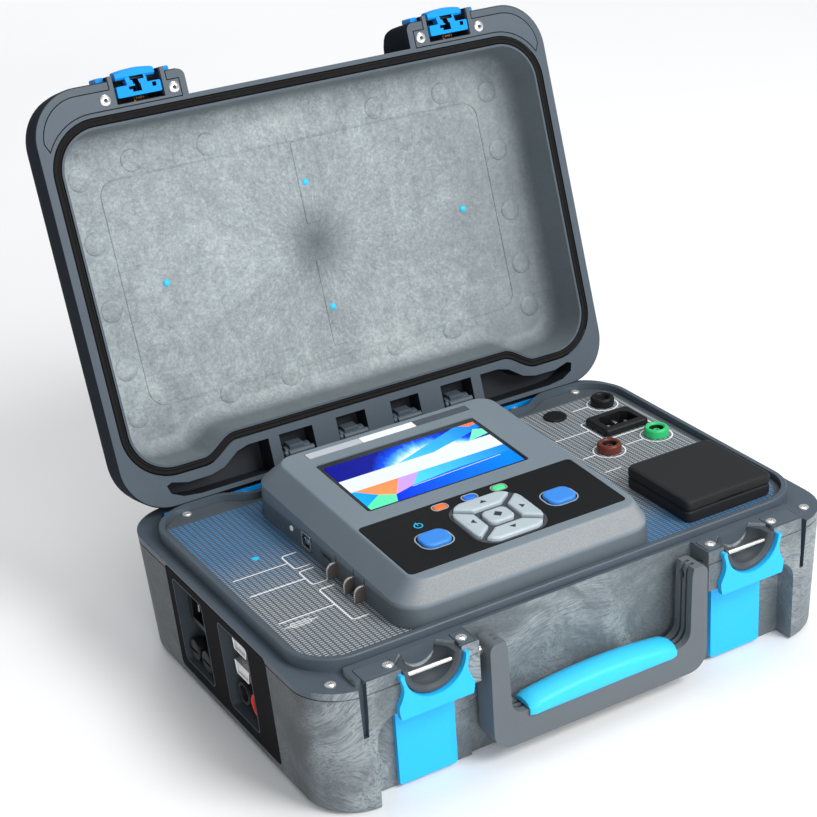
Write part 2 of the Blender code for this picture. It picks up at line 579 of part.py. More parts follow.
def build_lid():
    profile = ((LID_PLANE, 0), (96, 0.9), (102.5, 3.2), (106.8, 8.5), (LID_TOP, 15))
    shell = loft("lid_shell", "grey_shell", lid_rings(profile))
    hollow = []
    for z, grow in ((70, -2.6), (80, -3.0), (97, -5.2), (102.5, -8.5), (LID_FLOOR, -14)):
        hollow.append(along("Z", rim_path(grow), z))
    groove = prism("groove", None, rim_path(3.0), 70, LID_PLANE + 3.2)
    cut(groove, prism("core", None, rim_path(-1.6), 60, 90))
    cut(
        shell,
        loft("hollow", None, hollow),
        groove,
        box("bay", None, -HANDLE_BAY + 0.5, HANDLE_BAY - 0.5, FRONT - 5, FRONT_WALL - 1, 60, 120),
    )
    windows = []
    for x in KNUCKLES:
        half = 10.2 if abs(x) > 30 else 8.7
        windows.append(box("window", None, x - half, x + half, 92.2, 120, 70, 88.5))
    for side in (-1, 1):
        pocket = [(68, 93.6), (82, 93.6), (96, 101.2), (118, 103.2), (128, 101), (128, 109.4), (68, 109.4)]
        windows.append(prism("side_pocket", None, mirrored(pocket, side), 70, 90))
        cx = side * LATCH_X
        windows.append(box("latch_way", None, cx - 12.9, cx + 12.9, -112, -95.6, 70, 99))
        windows.append(prism("trim_seat", None, offset(lid_trim_outline(side), GAP), 70, LID_PLANE + 2.3))
    cut(shell, *windows)
    cut(shell, rod("pin_way", None, "X", (HINGE_Y, HINGE_Z), PIN_R + 0.08, -66.5, 66.5))
    for side in (-1, 1):
        trunnion = rod("trunnion_way", None, "X", LATCH_PIVOT, 1.9, *span(side, LATCH_X - 16.5, LATCH_X + 16.5))
        cut(shell, trunnion)
    gasket = prism("lid_gasket", "rubber", rim_path(2.6), LID_PLANE, LID_PLANE + 3.0)
    cut(gasket, prism("core", None, rim_path(-1.2), 60, 90))
    pieces = [shell, gasket]
    for name, side in SIDES:
        pieces.append(
            prism(f"lid_trim_{name}", "dark_trim", lid_trim_outline(side), LID_PLANE - 0.2, LID_PLANE + 2.0)
        )
    latches = [build_lid_latch(name, side * LATCH_X) for name, side in SIDES]
    axis = bpy.data.objects.new("lid_axis", None)
    bpy.context.collection.objects.link(axis)
    axis.location = Vector((0, HINGE_Y, HINGE_Z)) * MM
    axis.rotation_euler.x = -math.radians(LID_OPEN)
    for obj in pieces:
        pivot_at(obj, (0, HINGE_Y, HINGE_Z))
        obj.parent = axis
        obj.location = (0, 0, 0)
    for obj, (name, side) in zip(latches, SIDES):
        pivot_at(obj, (side * LATCH_X, *LATCH_PIVOT))
        obj.parent = axis
        obj.location = Vector((side * LATCH_X, LATCH_PIVOT[0] - HINGE_Y, LATCH_PIVOT[1] - HINGE_Z)) * MM
    rod("hinge_pin", "steel", "X", (HINGE_Y, HINGE_Z), PIN_R, -65.5, 65.5)


def lid_trim_outline(side):
    """U-shaped plate set into one lid latch housing, open towards the front round the latch."""
    cx = LATCH_X
    outline = [(70.5, FRONT + 1.2), (cx - 13.2, FRONT + 1.2), (cx - 13.2, -95.3), (cx + 13.2, -95.3)]
    outline += [(cx + 13.2, FRONT + 1.2), (125.5, FRONT + 1.2), (125.5, -97.0), (119.5, -92.8), (72.5, -92.8), (70.5, -94.5)]
    return mirrored(outline, side)


def build_lid_latch(name, cx):
    """Blue latch lever: thumb plate outside, hook plate in the window and moulded trunnions."""
    front = [(-111.6, 80.0), (-112.2, 86.0), (-111.6, 94.5), (-108.6, 95.5), (-108.4, 76.6), (-110.4, 76.0)]
    lever = prism(f"lid_latch_{name}", "blue", front, cx - 12.4, cx + 12.4, "X")
    y, z = LATCH_PIVOT
    fuse(
        lever,
        box("arm", None, cx - 12.0, cx + 12.0, -109.5, y + 2.0, 88.5, 93.0),
        box("web", None, cx - 6.5, cx + 6.5, -109.0, -101.0, 76.6, 80.4),
        box("hook", None, cx - 12.0, cx + 12.0, -103.6, -98.2, 75.2, 80.4),
        box("stem", None, cx - 8.0, cx + 8.0, y - 2.2, y + 2.0, 78, 90),
        rod("trunnion", None, "X", LATCH_PIVOT, 1.6, cx - 16.0, cx + 16.0, 16),
    )
    wing = box("wing", None, cx - 19.5, cx + 19.5, -111.2, -108.3, 84.5, 94.0)
    fuse(lever, wing)
    return lever


for existing in list(bpy.data.objects):
    bpy.data.objects.remove(existing)

build_base_shell()
build_latch_sides()
build_side_connectors()
build_panel()
build_console()
build_power_stage()
build_handle()
build_lid()
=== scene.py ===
"""Visual model of the insulation resistance tester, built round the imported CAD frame.

Lengths are millimetres in the row frame and become metres when a mesh is made. Pieces of the lid are
modelled closed and turned open with the lid's own matrix, so their materials see closed coordinates.
"""

import math

import bmesh
import bpy
from mathutils import Matrix, Vector


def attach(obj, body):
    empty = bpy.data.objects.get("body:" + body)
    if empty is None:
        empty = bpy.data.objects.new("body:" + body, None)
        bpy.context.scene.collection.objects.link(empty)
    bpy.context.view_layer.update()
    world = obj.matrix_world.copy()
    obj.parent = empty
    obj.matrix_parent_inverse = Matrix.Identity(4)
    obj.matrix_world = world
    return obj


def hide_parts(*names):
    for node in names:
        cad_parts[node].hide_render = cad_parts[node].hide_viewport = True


MM = 0.001

# Case body
HALF_WIDTH = 153.5
FRONT = -107.9
FRONT_WALL = -93.0
SCOOP_WALL = -95.0
REAR = 111.5
FLANGE_Z = 69.0
PLATE_Z = 72.0
DRAFT = math.tan(math.radians(2.6))
CORNER = 26.0
PILLAR_X = 124.0
SCOOP_TOP = 49.5
HANDLE_BAY = 67.5
RIM_TOP = 75.6
RIM_HALF = 145.5
RIM_FRONT = -88.5
RIM_REAR_MID = 85.0
RIM_REAR_END = 94.2
RIM_CORNER = 24
PANEL_Z = 72.0
LATCH_X = 93.2
RECEIVER_Z = 70.5
RECEIVER_R = 16.2
HANDLE_PIVOT = (-102.5, 62.5)

# Lid, closed
LID_PLANE = 76.0
LID_FLOOR = 105.0
LID_TOP = 108.6
LID_REAR = 113.3
LID_OPEN = math.radians(107.0)
HINGE = (104.5, 81.5)
KNUCKLES = (-51.4, -17.3, 17.3, 51.4)
LATCH_PIVOT = (-102.8, 91.0)

# Console
SLOPE = math.atan(0.05)
EDGE_Y = -81.5
EDGE_Z = 96.0
DISPLAY = (-70.0, 25.0, 69.0, 125.0)
KEYPAD = (-83.0, 42.0, 7.0, 57.5)
PAD = (-20.5, 28.2)
SIDE_KEYS = {"key_escape": (-57.0, 28.0), "key_tab": (15.6, 28.0)}
LAMPS = {"lamp_orange": -39.0, "lamp_blue": -21.6, "lamp_green": -4.3}
LAMP_Y = 52.6
POWER_MARK = (-57.0, 43.2)
FUSE_TABS = (-17.5, -35.0, -45.5)

# Panel
PANEL_SOCKETS = {"black": (128.0, 66.5), "green": (128.3, 15.2), "brown": (95.7, 14.9)}
BLANK_CAP = (95.9, 68.2)
OUTLET = (104.8, -52.3)

# Markings printed on the panel: brackets in front of the console's ports, leader lines and a dot
LEFT_BRACKETS = ((18.0, 2.8), (-1.0, -16.2), (-22.4, -57.0))
LEFT_LEADERS = (10.2, -8.5, -39.3)
BRACKET_X = (-97.4, -106.0)
LEADER_X = -136.4
RADIO_DOT = (-117.0, 24.6)
FUSE_SYMBOL = (-136.4, -118.4, -44.8)
RIGHT_LEADERS = (
    (108.4, 119.0, 68.4), (78.2, 101.4, 41.8), (106.8, 119.3, 15.1), (77.6, 86.7, 14.8), (78.2, 89.1, -5.5),
)

# Left side
SIDE_SOCKETS = {"black": -16.0, "red": -30.0}
SIDE_SOCKET_Z = 25.0
SIDE_FUSES = {"rear": 41.0, "front": 26.5}
SIDE_FUSE_Z = 21.5
SERIAL_Z = {"upper": 54.5, "lower": 40.5}

# Camera: millimetres and degrees
CAMERA_AT = (-444.76, -743.2, 533.25)
CAMERA_ANGLES = (-31.379, 27.456, -2.851)
CAMERA_FOCAL = 82.73
CAMERA_SHIFT = 0.1004

SIDES = (("left", -1), ("right", 1))
UPRIGHT = Matrix.Identity(3)
LEFTWARDS = Matrix.Rotation(-math.pi / 2, 3, "Y")
UPSIDE_DOWN = Matrix.Rotation(math.pi, 3, "X")

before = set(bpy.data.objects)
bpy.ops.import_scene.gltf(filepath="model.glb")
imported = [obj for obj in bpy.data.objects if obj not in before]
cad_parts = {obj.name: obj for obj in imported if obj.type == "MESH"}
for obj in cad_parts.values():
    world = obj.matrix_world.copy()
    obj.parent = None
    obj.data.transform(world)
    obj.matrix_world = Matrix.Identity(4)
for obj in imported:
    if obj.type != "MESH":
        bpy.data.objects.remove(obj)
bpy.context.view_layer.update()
HINGE_AT = Vector((0, *HINGE)) * MM
LID_TURN = Matrix.Translation(HINGE_AT) @ Matrix.Rotation(-LID_OPEN, 4, "X") @ Matrix.Translation(-HINGE_AT)


# ---------------------------------------------------------------- outlines


def circle(cx, cy, radius, steps=40, start=0.0, sweep=360.0):
    count = steps if sweep == 360.0 else steps + 1
    angles = [math.radians(start + sweep * i / steps) for i in range(count)]
    return [(cx + radius * math.cos(a), cy + radius * math.sin(a)) for a in angles]


def rounded(x0, x1, y0, y1, radius, steps=8):
    """Corner-rounded rectangle, counter-clockwise; radius may be one per corner."""
    radii = radius if isinstance(radius, tuple) else (radius,) * 4
    corners = ((x1, y0, -90), (x1, y1, 0), (x0, y1, 90), (x0, y0, 180))
    points = []
    for (x, y, start), r in zip(corners, radii):
        cx = x - r if x == x1 else x + r
        cy = y + r if y == y0 else y - r
        points += circle(cx, cy, r, steps, start, 90)
    return points


def pill(x, y, half_x, half_y, radius, steps=8):
    """Corner-rounded rectangle from its centre and half sizes."""
    return rounded(x - half_x, x + half_x, y - half_y, y + half_y, radius, steps)


def mitre(before, here, after, limit):
    """Normal at a corner, lengthened so that a parallel outline keeps its distance."""
    first, second = (here - before).normalized(), (after - here).normalized()
    normal = Vector((first.y + second.y, -first.x - second.x)).normalized()
    return normal / max(limit, normal.dot(Vector((first.y, -first.x))))


def offset(points, distance):
    corners = [Vector(p) for p in points]
    following = corners[1:] + corners[:1]
    preceding = corners[-1:] + corners[:-1]
    return [tuple(b + mitre(a, b, c, 0.5) * distance) for a, b, c in zip(preceding, corners, following)]


def doubled(half):
    """Outline that is the same on both sides of x = 0, from its right half."""
    return half + [(-x, y) for x, y in reversed(half)]


def mirrored(outline, side):
    return outline if side > 0 else [(-x, y) for x, y in reversed(outline)]


def span(side, near, far):
    return (side * near, side * far) if side > 0 else (side * far, side * near)


def rim_path(grow=0.0):
    """Centre line of the sealing rim: its rear side steps in behind the hinge."""
    path = []
    for y, start in ((RIM_FRONT + RIM_CORNER, -90), (RIM_REAR_END - RIM_CORNER, 0)):
        path += circle(RIM_HALF - RIM_CORNER, y, RIM_CORNER, 14, start, 90)
    for i in range(13):
        t = min(1.0, 1.25 * i / 12)
        path.append((106 - 25 * i / 12, RIM_REAR_END + t * t * (3 - 2 * t) * (RIM_REAR_MID - RIM_REAR_END)))
    return offset(doubled(path), grow)


def closed_loop(outline):
    return list(outline) + [outline[0]]


# ---------------------------------------------------------------- meshes


def mesh_object(name, work):
    bmesh.ops.recalc_face_normals(work, faces=work.faces)
    mesh = bpy.data.meshes.new(name)
    work.to_mesh(mesh)
    work.free()
    obj = bpy.data.objects.new(name, mesh)
    bpy.context.scene.collection.objects.link(obj)
    return obj


def loft(name, rings, looped=False):
    """Body through rings of points; looped joins the last ring to the first instead of capping."""
    work = bmesh.new()
    rows = [[work.verts.new(Vector(p) * MM) for p in ring] for ring in rings]
    pairs = list(zip(rows, rows[1:]))
    if looped:
        pairs.append((rows[-1], rows[0]))
    for low, high in pairs:
        for i in range(len(low)):
            j = (i + 1) % len(low)
            work.faces.new((low[i], low[j], high[j], high[i]))
    if not looped:
        work.faces.new(list(reversed(rows[0])))
        work.faces.new(rows[-1])
    return mesh_object(name, work)


def along(axis, outline, level):
    if axis == "X":
        return [(level, a, b) for a, b in outline]
    if axis == "Y":
        return [(a, level, b) for a, b in outline]
    return [(a, b, level) for a, b in outline]


def stack(name, rows, axis="Z", looped=False):
    """Body through outlines that each stand at their own level along an axis."""
    return loft(name, [along(axis, outline, level) for outline, level in rows], looped)


def prism(name, outline, low, high, axis="Z"):
    return stack(name, ((outline, low), (outline, high)), axis)


def box(name, x0, x1, y0, y1, z0, z1):
    return prism(name, [(x0, y0), (x1, y0), (x1, y1), (x0, y1)], z0, z1)


def rod(name, centre, radius, low, high, steps=40):
    """Round bar that runs from side to side."""
    return prism(name, circle(*centre, radius, steps), low, high, "X")


def turned(name, profile, centre, steps=44, turn=UPRIGHT):
    """Lathe body: profile is (radius, height) pairs from axis to axis."""
    work = bmesh.new()
    rows = []
    for radius, height in profile:
        ring = circle(0, 0, radius, steps)[: 1 if radius == 0 else steps]
        rows.append([work.verts.new((Vector(centre) + turn @ Vector((x, y, height))) * MM) for x, y in ring])
    for low, high in zip(rows, rows[1:]):
        for i in range(steps):
            j = (i + 1) % steps
            corners = [low[i % len(low)], low[j % len(low)], high[j % len(high)], high[i % len(high)]]
            work.faces.new(list(dict.fromkeys(corners)))
    return mesh_object(name, work)


def combine(target, tools, operation):
    for tool in tools:
        boolean = target.modifiers.new("boolean", "BOOLEAN")
        boolean.operation = operation
        boolean.solver = "EXACT"
        boolean.object = tool
    bpy.context.view_layer.update()
    graph = bpy.context.evaluated_depsgraph_get()
    mesh = bpy.data.meshes.new_from_object(target.evaluated_get(graph))
    target.modifiers.clear()
    target.data = mesh
    for tool in tools:
        bpy.data.objects.remove(tool)
    work = bmesh.new()
    work.from_mesh(mesh)
    bmesh.ops.remove_doubles(work, verts=work.verts, dist=0.004 * MM)
    bmesh.ops.dissolve_degenerate(work, edges=work.edges, dist=0.002 * MM)
    work.to_mesh(mesh)
    work.free()
    return target


def cut(target, *tools):
    return combine(target, tools, "DIFFERENCE")


def fuse(target, *tools):
    return combine(target, tools, "UNION")


def merged(name, objects):
    """One object that holds the meshes of several separate bodies."""
    work = bmesh.new()
    for obj in objects:
        work.from_mesh(obj.data)
        bpy.data.objects.remove(obj)
    return mesh_object(name, work)


def soften(obj, width, segments=2, angle=32):
    """Rounds the edges and gives flat faces flat shading next to them."""
    weld = obj.modifiers.new("weld", "WELD")
    weld.merge_threshold = 0.00001
    if width:
        bevel = obj.modifiers.new("bevel", "BEVEL")
        bevel.width = width * MM
        bevel.segments = segments
        bevel.limit_method = "ANGLE"
        bevel.angle_limit = math.radians(angle)
        bevel.use_clamp_overlap = True
        bevel.harden_normals = False
    weighted = obj.modifiers.new("normals", "WEIGHTED_NORMAL")
    weighted.keep_sharp = True
    for name in ("custom_normal", "sharp_face", "sharp_edge"):
        layer = obj.data.attributes.get(name)
        if layer:
            obj.data.attributes.remove(layer)
    obj.data.shade_smooth()
    if not width:
        obj.data.set_sharp_from_angle(angle=math.radians(angle))


def dress(obj, looks):
    """Gives an object its material slots; looks are the slots' materials, parted by spaces."""
    obj.data.materials.clear()
    for key in looks.split():
        obj.data.materials.append(M[key])


def place(obj, looks, replaces=None, width=0.35, body="case_base", segments=2, angle=32):
    """Dresses a piece, rounds its edges, turns it open if it is on the lid, and rides it on its body."""
    dress(obj, looks)
    if width is not None:
        soften(obj, width, segments, angle)
    if "lid" in body:
        obj.matrix_world = LID_TURN
    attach(obj, body)
    if replaces:
        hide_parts(replaces)
    return obj


def place_node(name, looks, width=0.3):
    """Gives a CAD node that is shown as it is its materials and soft edges."""
    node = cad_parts[name]
    dress(node, looks)
    soften(node, width)
    return node


def paint(obj, slot_of):
    """Chooses the material slot of every face from its centre in millimetres and its normal."""
    for face in obj.data.polygons:
        face.material_index = int(slot_of(face.center / MM, face.normal))


def console_point(x, y, level):
    turn = Matrix.Rotation(SLOPE, 3, "X")
    return tuple(Vector((0, EDGE_Y, EDGE_Z)) + turn @ Vector((x, y, level)))


def console_ring(outline, level):
    return [console_point(x, y, level) for x, y in outline]


def console_prism(name, outline, low, high):
    return loft(name, [console_ring(outline, low), console_ring(outline, high)])


def wall_x(z):
    return -(HALF_WIDTH - (FLANGE_Z - z) * DRAFT)


def side_slab(name, outline, out, deep):
    """Slab that follows the leaning left wall, from a distance outside it to a depth inside."""
    return loft(name, [[(wall_x(z) + depth, y, z) for y, z in outline] for depth in (-out, deep)])


def ribbon(name, lines, width, lift, place_point):
    """Printed lines as thin raised strips; place_point maps (x, y, level) to the row frame."""
    strips = []
    for points in lines:
        path = [Vector(p) for p in points]
        closed = path[0] == path[-1]
        if closed:
            path = [path[-2]] + path
        else:
            path = [2 * path[0] - path[1]] + path + [2 * path[-1] - path[-2]]
        rings = []
        for before, here, after in zip(path, path[1:], path[2:]):
            reach = mitre(before, here, after, 0.4) * width / 2
            left, right = here - reach, here + reach
            ring = ((*left, 0.0), (*right, 0.0), (*right, lift), (*left, lift))
            rings.append([place_point(*p) for p in ring])
        strips.append(loft("strip", rings, closed))
    return merged(name, strips)


def on_panel(x, y, level):
    return (x, y, PANEL_Z + 0.02 + level)


def on_keypad(x, y, level):
    return console_point(x, y, level + 0.16)


# ---------------------------------------------------------------- materials


class Field:
    """A value over a surface; arithmetic on it adds math nodes to its material."""

    def __init__(self, graph, socket):
        self.graph = graph
        self.socket = socket

    def __add__(self, other):
        return self.graph.math("ADD", self, other)

    def __sub__(self, other):
        return self.graph.math("SUBTRACT", self, other)

    def __rsub__(self, other):
        return self.graph.math("SUBTRACT", other, self)

    def __mul__(self, other):
        return self.graph.math("MULTIPLY", self, other)

    def __truediv__(self, other):
        return self.graph.math("DIVIDE", self, other)

    def __abs__(self):
        return self.graph.math("ABSOLUTE", self)

    def __lt__(self, other):
        return self.graph.math("LESS_THAN", self, other)

    def __gt__(self, other):
        return self.graph.math("GREATER_THAN", self, other)

    def at_least(self, other):
        return self.graph.math("MAXIMUM", self, other)


class Graph:
    """Small helper that builds one node material."""

    def __init__(self, name):
        self.material = bpy.data.materials.new(name)
        self.material.use_nodes = True
        self.tree = self.material.node_tree
        self.place = self.node("TexCoord", output="Object")

    def node(self, kind, inputs=(), output=0, **settings):
        """Adds a shader node with some inputs and settings, and gives one of its outputs."""
        made = self.tree.nodes.new("ShaderNode" + kind)
        for key, value in settings.items():
            setattr(made, key, value)
        for key, value in dict(inputs).items():
            self.feed(made.inputs[key], value)
        return Field(self, made.outputs[output])

    def feed(self, socket, value):
        if isinstance(value, Field):
            self.tree.links.new(value.socket, socket)
        elif socket.type == "RGBA":
            socket.default_value = (*value, 1)
        else:
            socket.default_value = value

    def math(self, operation, *values):
        return self.node("Math", enumerate(values), operation=operation)

    def vector(self, operation, *values, output=0):
        return self.node("VectorMath", enumerate(values), output, operation=operation)

    def axes(self):
        split = self.node("SeparateXYZ", {0: self.place}).socket.node
        return [Field(self, socket) for socket in split.outputs]

    def noise(self, scale, detail=4.0, rough=0.6, vector=None, distortion=0.0):
        inputs = {"Scale": scale, "Detail": detail, "Roughness": rough, "Distortion": distortion}
        return self.node("TexNoise", {"Vector": vector or self.place, **inputs}, "Fac")

    def stretch(self, factors, vector=None, turn=(0, 0, 0)):
        return self.node("Mapping", {"Vector": vector or self.place, "Scale": factors, "Rotation": turn})

    def ramp(self, value, *stops):
        colour = self.node("ValToRGB", {0: value})
        elements = colour.socket.node.color_ramp.elements
        while len(elements) < len(stops):
            elements.new(0.5)
        for element, (position, tint) in zip(elements, stops):
            element.position = position
            element.color = (*tint, 1)
        return colour

    def mix(self, factor, first, second):
        return self.node("Mix", {0: factor, 6: first, 7: second}, 2, data_type="RGBA")

    def fade(self, value, start, end):
        """Runs from 0 at start to 1 at end; both are millimetres along a coordinate."""
        return self.node("MapRange", {0: value, 1: start * MM, 2: end * MM})

    def scaled(self, value, low, high):
        return self.node("MapRange", {0: value, 3: low, 4: high})

    def bump(self, height, distance, strength=1.0):
        return self.node("Bump", {"Strength": strength, "Distance": distance * MM, "Height": height})

    def finish(self, colour, rough, normal=None, specular=0.5, metallic=0.0, coat=0.0, glow=0.0):
        """Sets the shader's inputs; glow lights the surface with its own colour."""
        inputs = {"Base Color": colour, "Roughness": rough, "Specular IOR Level": specular,
                  "Metallic": metallic, "Coat Weight": coat}
        if normal:
            inputs["Normal"] = normal
        if glow:
            inputs["Emission Color"] = colour
            inputs["Emission Strength"] = glow
        for key, value in inputs.items():
            self.feed(self.tree.nodes["Principled BSDF"].inputs[key], value)
        return self.material


def shade(colour, factor):
    return tuple(min(1.0, c * factor) for c in colour)


def moulded(name, colour, rough=0.45, grain=1100.0, bump=0.03, wear=0.12, specular=0.3, *shine):
    """Moulded plastic or rubber: fine texture, slow tone variation and a little uneven gloss."""
    g = Graph(name)
    tone = g.noise(28.0, 3.0)
    fine = g.noise(grain, 3.0, 0.7)
    slow = g.mix(tone, shade(colour, 1 - wear), shade(colour, 1 + wear))
    speck = g.mix(g.scaled(fine, 0.0, 0.35), slow, shade(colour, 1.35))
    gloss = g.scaled(tone, rough - 0.06, rough + 0.08)
    return g.finish(speck, gloss, g.bump(fine, bump), specular, *shine)


def brushed(name, colour, rough, metallic=1.0):
    g = Graph(name)
    lines = g.noise(1800.0, 3.0, 0.6, g.stretch((0.15, 1, 1)))
    mixed = g.mix(g.noise(120.0, 3.0), shade(colour, 0.85), shade(colour, 1.12))
    gloss = g.scaled(lines, rough - 0.06, rough + 0.12)
    return g.finish(mixed, gloss, g.bump(lines, 0.01), metallic=metallic)


def case_plastic():
    """Fibre-filled plastic: bundles of thin curved flow lines over a softly clouded grey, with painted shade
    on the left wall.
    """
    g = Graph("case_plastic")
    dark, middle, light = (0.088, 0.106, 0.118), (0.14, 0.164, 0.178), (0.25, 0.283, 0.296)
    turn = (0.5, 0.35, 0.9)
    warp = g.node("TexNoise", {"Vector": g.place, "Scale": 11.0, "Detail": 2.0}, "Color")
    bent = g.vector("MULTIPLY_ADD", warp, (0.1, 0.1, 0.1), g.place)
    cloud = g.noise(22.0, 4.0, 0.6, bent, 0.6)
    strokes = g.noise(290.0, 3.0, 0.6, g.stretch((0.1, 1.6, 1.6), bent, turn), 0.5)
    ridge = (1.0 - abs(strokes - 0.5) * 8.0).at_least(0.0)
    patch = g.node("MapRange", {0: cloud, 1: 0.42, 2: 0.6})
    fine = g.noise(950.0, 5.0, 0.75, g.stretch((0.4, 1.2, 1.2), bent, turn), 0.4)
    blend = g.math("MULTIPLY_ADD", fine, 0.62, cloud * 0.38)
    base = g.ramp(blend, (0.36, dark), (0.52, middle), (0.70, light))
    colour = g.mix(ridge * patch * 0.62, base, shade(light, 1.5))
    # Painted shade: the outer left wall is darkened where less light falls on it.
    left_wall_painted_shade = g.fade(g.axes()[0], -148.5, -152.5)
    colour = g.mix(left_wall_painted_shade * 0.72, colour, shade(dark, 0.3))
    return g.finish(colour, g.scaled(cloud, 0.42, 0.6), g.bump(fine + ridge * 0.3, 0.035, 0.8), 0.35)


def console_plastic():
    """Smooth blue-grey plastic; a painted highlight with glinting grains fades in on the console's front
    slope, and painted shade darkens the low foot.
    """
    g = Graph("console_plastic")
    _, y, z = g.axes()
    # Painted highlight: a lighter band with glinting grains where the front slope catches the light.
    front_slope_highlight = g.fade(z, 83.3, 84.8) * g.fade(z, 96.4, 95.0) * g.fade(y, -75.0, -82.0)
    tone = g.noise(28.0, 3.0)
    fine = g.noise(900.0, 3.0, 0.7)
    plain = g.mix(tone, (0.148, 0.187, 0.222), (0.18, 0.226, 0.264))
    glinting_highlight = g.mix(g.noise(1900.0, 2.0, 0.8), (0.12, 0.135, 0.145), (0.40, 0.42, 0.43))
    body = g.mix(g.scaled(fine, 0.0, 0.35), plain, (0.23, 0.28, 0.32))
    # Painted shade: the low foot under the front slope is darkened.
    body = g.mix(g.fade(z, 83.2, 81.6) * 0.75, body, (0.075, 0.092, 0.105))
    return g.finish(g.mix(front_slope_highlight, body, glinting_highlight), g.scaled(tone, 0.37, 0.5), g.bump(fine, 0.04), 0.3)


def lid_inside():
    """Inside of the lid: fibres flow outwards from a dark gate mark in the middle of its floor; its tones are
    lighter than the case's as painted light, and its walls, its right side and the side towards the hinge are
    darkened as painted shade.
    """
    g = Graph("lid_inside_plastic_painted_light")
    x, y, z = g.axes()
    centre = g.vector("SUBTRACT", g.place, (0.0, -0.002, 0.105))
    around = g.vector("MULTIPLY", centre, (1, 1, 0))
    radius = g.vector("LENGTH", around, output="Value")
    outwards = g.node("CombineXYZ", {"X": 0.0, "Y": 0.0, "Z": radius * 60.0})
    polar = g.vector("MULTIPLY_ADD", g.vector("NORMALIZE", around), (7, 7, 0), outwards)
    rays = g.noise(2.2, 6.0, 0.7, polar, 0.9)
    mottle = g.noise(560.0, 6.0, 0.85, None, 0.5)
    cloud = g.noise(16.0, 4.0, 0.6, None, 0.6)
    wisps = g.noise(90.0, 5.0, 0.72, g.stretch((1, 0.35, 1), None, (0, 0, 0.6)), 1.2)
    blend = cloud * 0.24
    for layer, share in ((mottle, 0.46), (rays, 0.22), (wisps, 0.14)):
        blend = g.math("MULTIPLY_ADD", layer, share, blend)
    # Painted light: these tones are lighter than the case's for the light that falls on the lid's inside.
    dark, middle, light = (0.13, 0.155, 0.165), (0.27, 0.31, 0.325), (0.47, 0.52, 0.53)
    colour = g.ramp(blend, (0.40, dark), (0.53, middle), (0.66, light))
    # Painted shade: the walls towards the lid's edge are darkened.
    colour = g.mix(g.fade(z, 103.5, 94.0) * 0.68, colour, (0.085, 0.106, 0.12))
    # Painted shade: darker towards the lid's right side and towards its hinge.
    for axis, start, end, share in ((x, 70, 140, 0.62), (y, 66, 86, 0.45)):
        colour = g.mix(g.fade(axis, start, end) * share, colour, (0.13, 0.157, 0.17))
    reach = (1.0 - radius / 0.026) * 1.2
    star = reach.at_least(0.0) * g.scaled(g.noise(3.2, 6.0, 0.75, polar, 0.5), 0.1, 1.3)
    colour = g.mix(g.math("MINIMUM", star, 0.85), colour, (0.05, 0.066, 0.078))
    return g.finish(colour, g.scaled(cloud, 0.42, 0.62), g.bump(mottle, 0.04, 0.7), 0.4)


def panel_print():
    """Grey panel with rows of fine printed dashes, blue at two corners and pale elsewhere."""
    g = Graph("panel_plastic")
    x, y, _ = g.axes()

    def stripe(value, pitch, share):
        return g.math("FRACT", (value + 1.0) / (pitch * MM)) < share

    corners = []
    for cx, cy in ((-0.1205, -0.0635), (0.1205, -0.0635)):
        dx = ((x - cx) * math.copysign(1, cx)).at_least(0.0)
        dy = (cy - y).at_least(0.0)
        corners.append(g.math("SQRT", dx * dx + dy * dy) < 0.020)
    dash = stripe(x, 3.1, 0.74) * stripe(y, 1.75, 0.46)
    inside = (abs(x) < 0.1405) * (y > -0.0835)
    mask = dash * inside * ((y < 0.080) * (corners[0] * corners[1]))
    left = x < 0.0
    blue = left * g.fade(y, -20.0, 35.0) + (1.0 - left) * g.fade(y * -1.0, 35.0, 65.0)
    ink = g.mix(blue, (0.47, 0.51, 0.53), (0.045, 0.27, 0.60))
    tone = g.noise(30.0, 3.0)
    colour = g.mix(mask * 0.9, g.mix(tone, (0.055, 0.068, 0.08), (0.08, 0.096, 0.112)), ink)
    return g.finish(colour, g.scaled(tone, 0.42, 0.55), g.bump(g.noise(1500.0, 2.0), 0.02), 0.4)


def lit_print(name, low, high, direction, start, end, glow):
    """Lit colour of the screen that fades from low to high along a direction."""
    g = Graph(name)
    x, y, _ = g.axes()
    run = x * float(direction[0]) + y * float(direction[1])
    streak = g.noise(260.0, 4.0, 0.6, g.stretch((1, 0.15, 1), None, (0, 0, 0.7)))
    colour = g.mix(g.fade(run, start, end) + g.scaled(streak, -0.08, 0.08), low, high)
    return g.finish(colour, g.scaled(streak, 0.16, 0.24), None, 0.12, glow=glow)


def screen_sky():
    """Upper half of the abstract screen picture: deep blue with a pale glow rising from its lower edge."""
    g = Graph("screen_sky")
    x, y, _ = g.axes()
    across = (x - -0.014) * (x - -0.014)
    fall = (y - 0.0275) * 38.0 + across * 700.0
    wisps = g.noise(190.0, 5.0, 0.65, g.stretch((1, 0.4, 1)), 0.8)
    glow, azure, royal, navy = (0.8, 0.9, 1.0), (0.08, 0.42, 0.95), (0.0, 0.06, 0.75), (0.0, 0.003, 0.24)
    height = fall + g.scaled(wisps, -0.22, 0.22)
    colour = g.ramp(height, (0.0, glow), (0.2, azure), (0.42, royal), (0.7, navy))
    return g.finish(colour, 0.2, None, 0.12, glow=0.22)


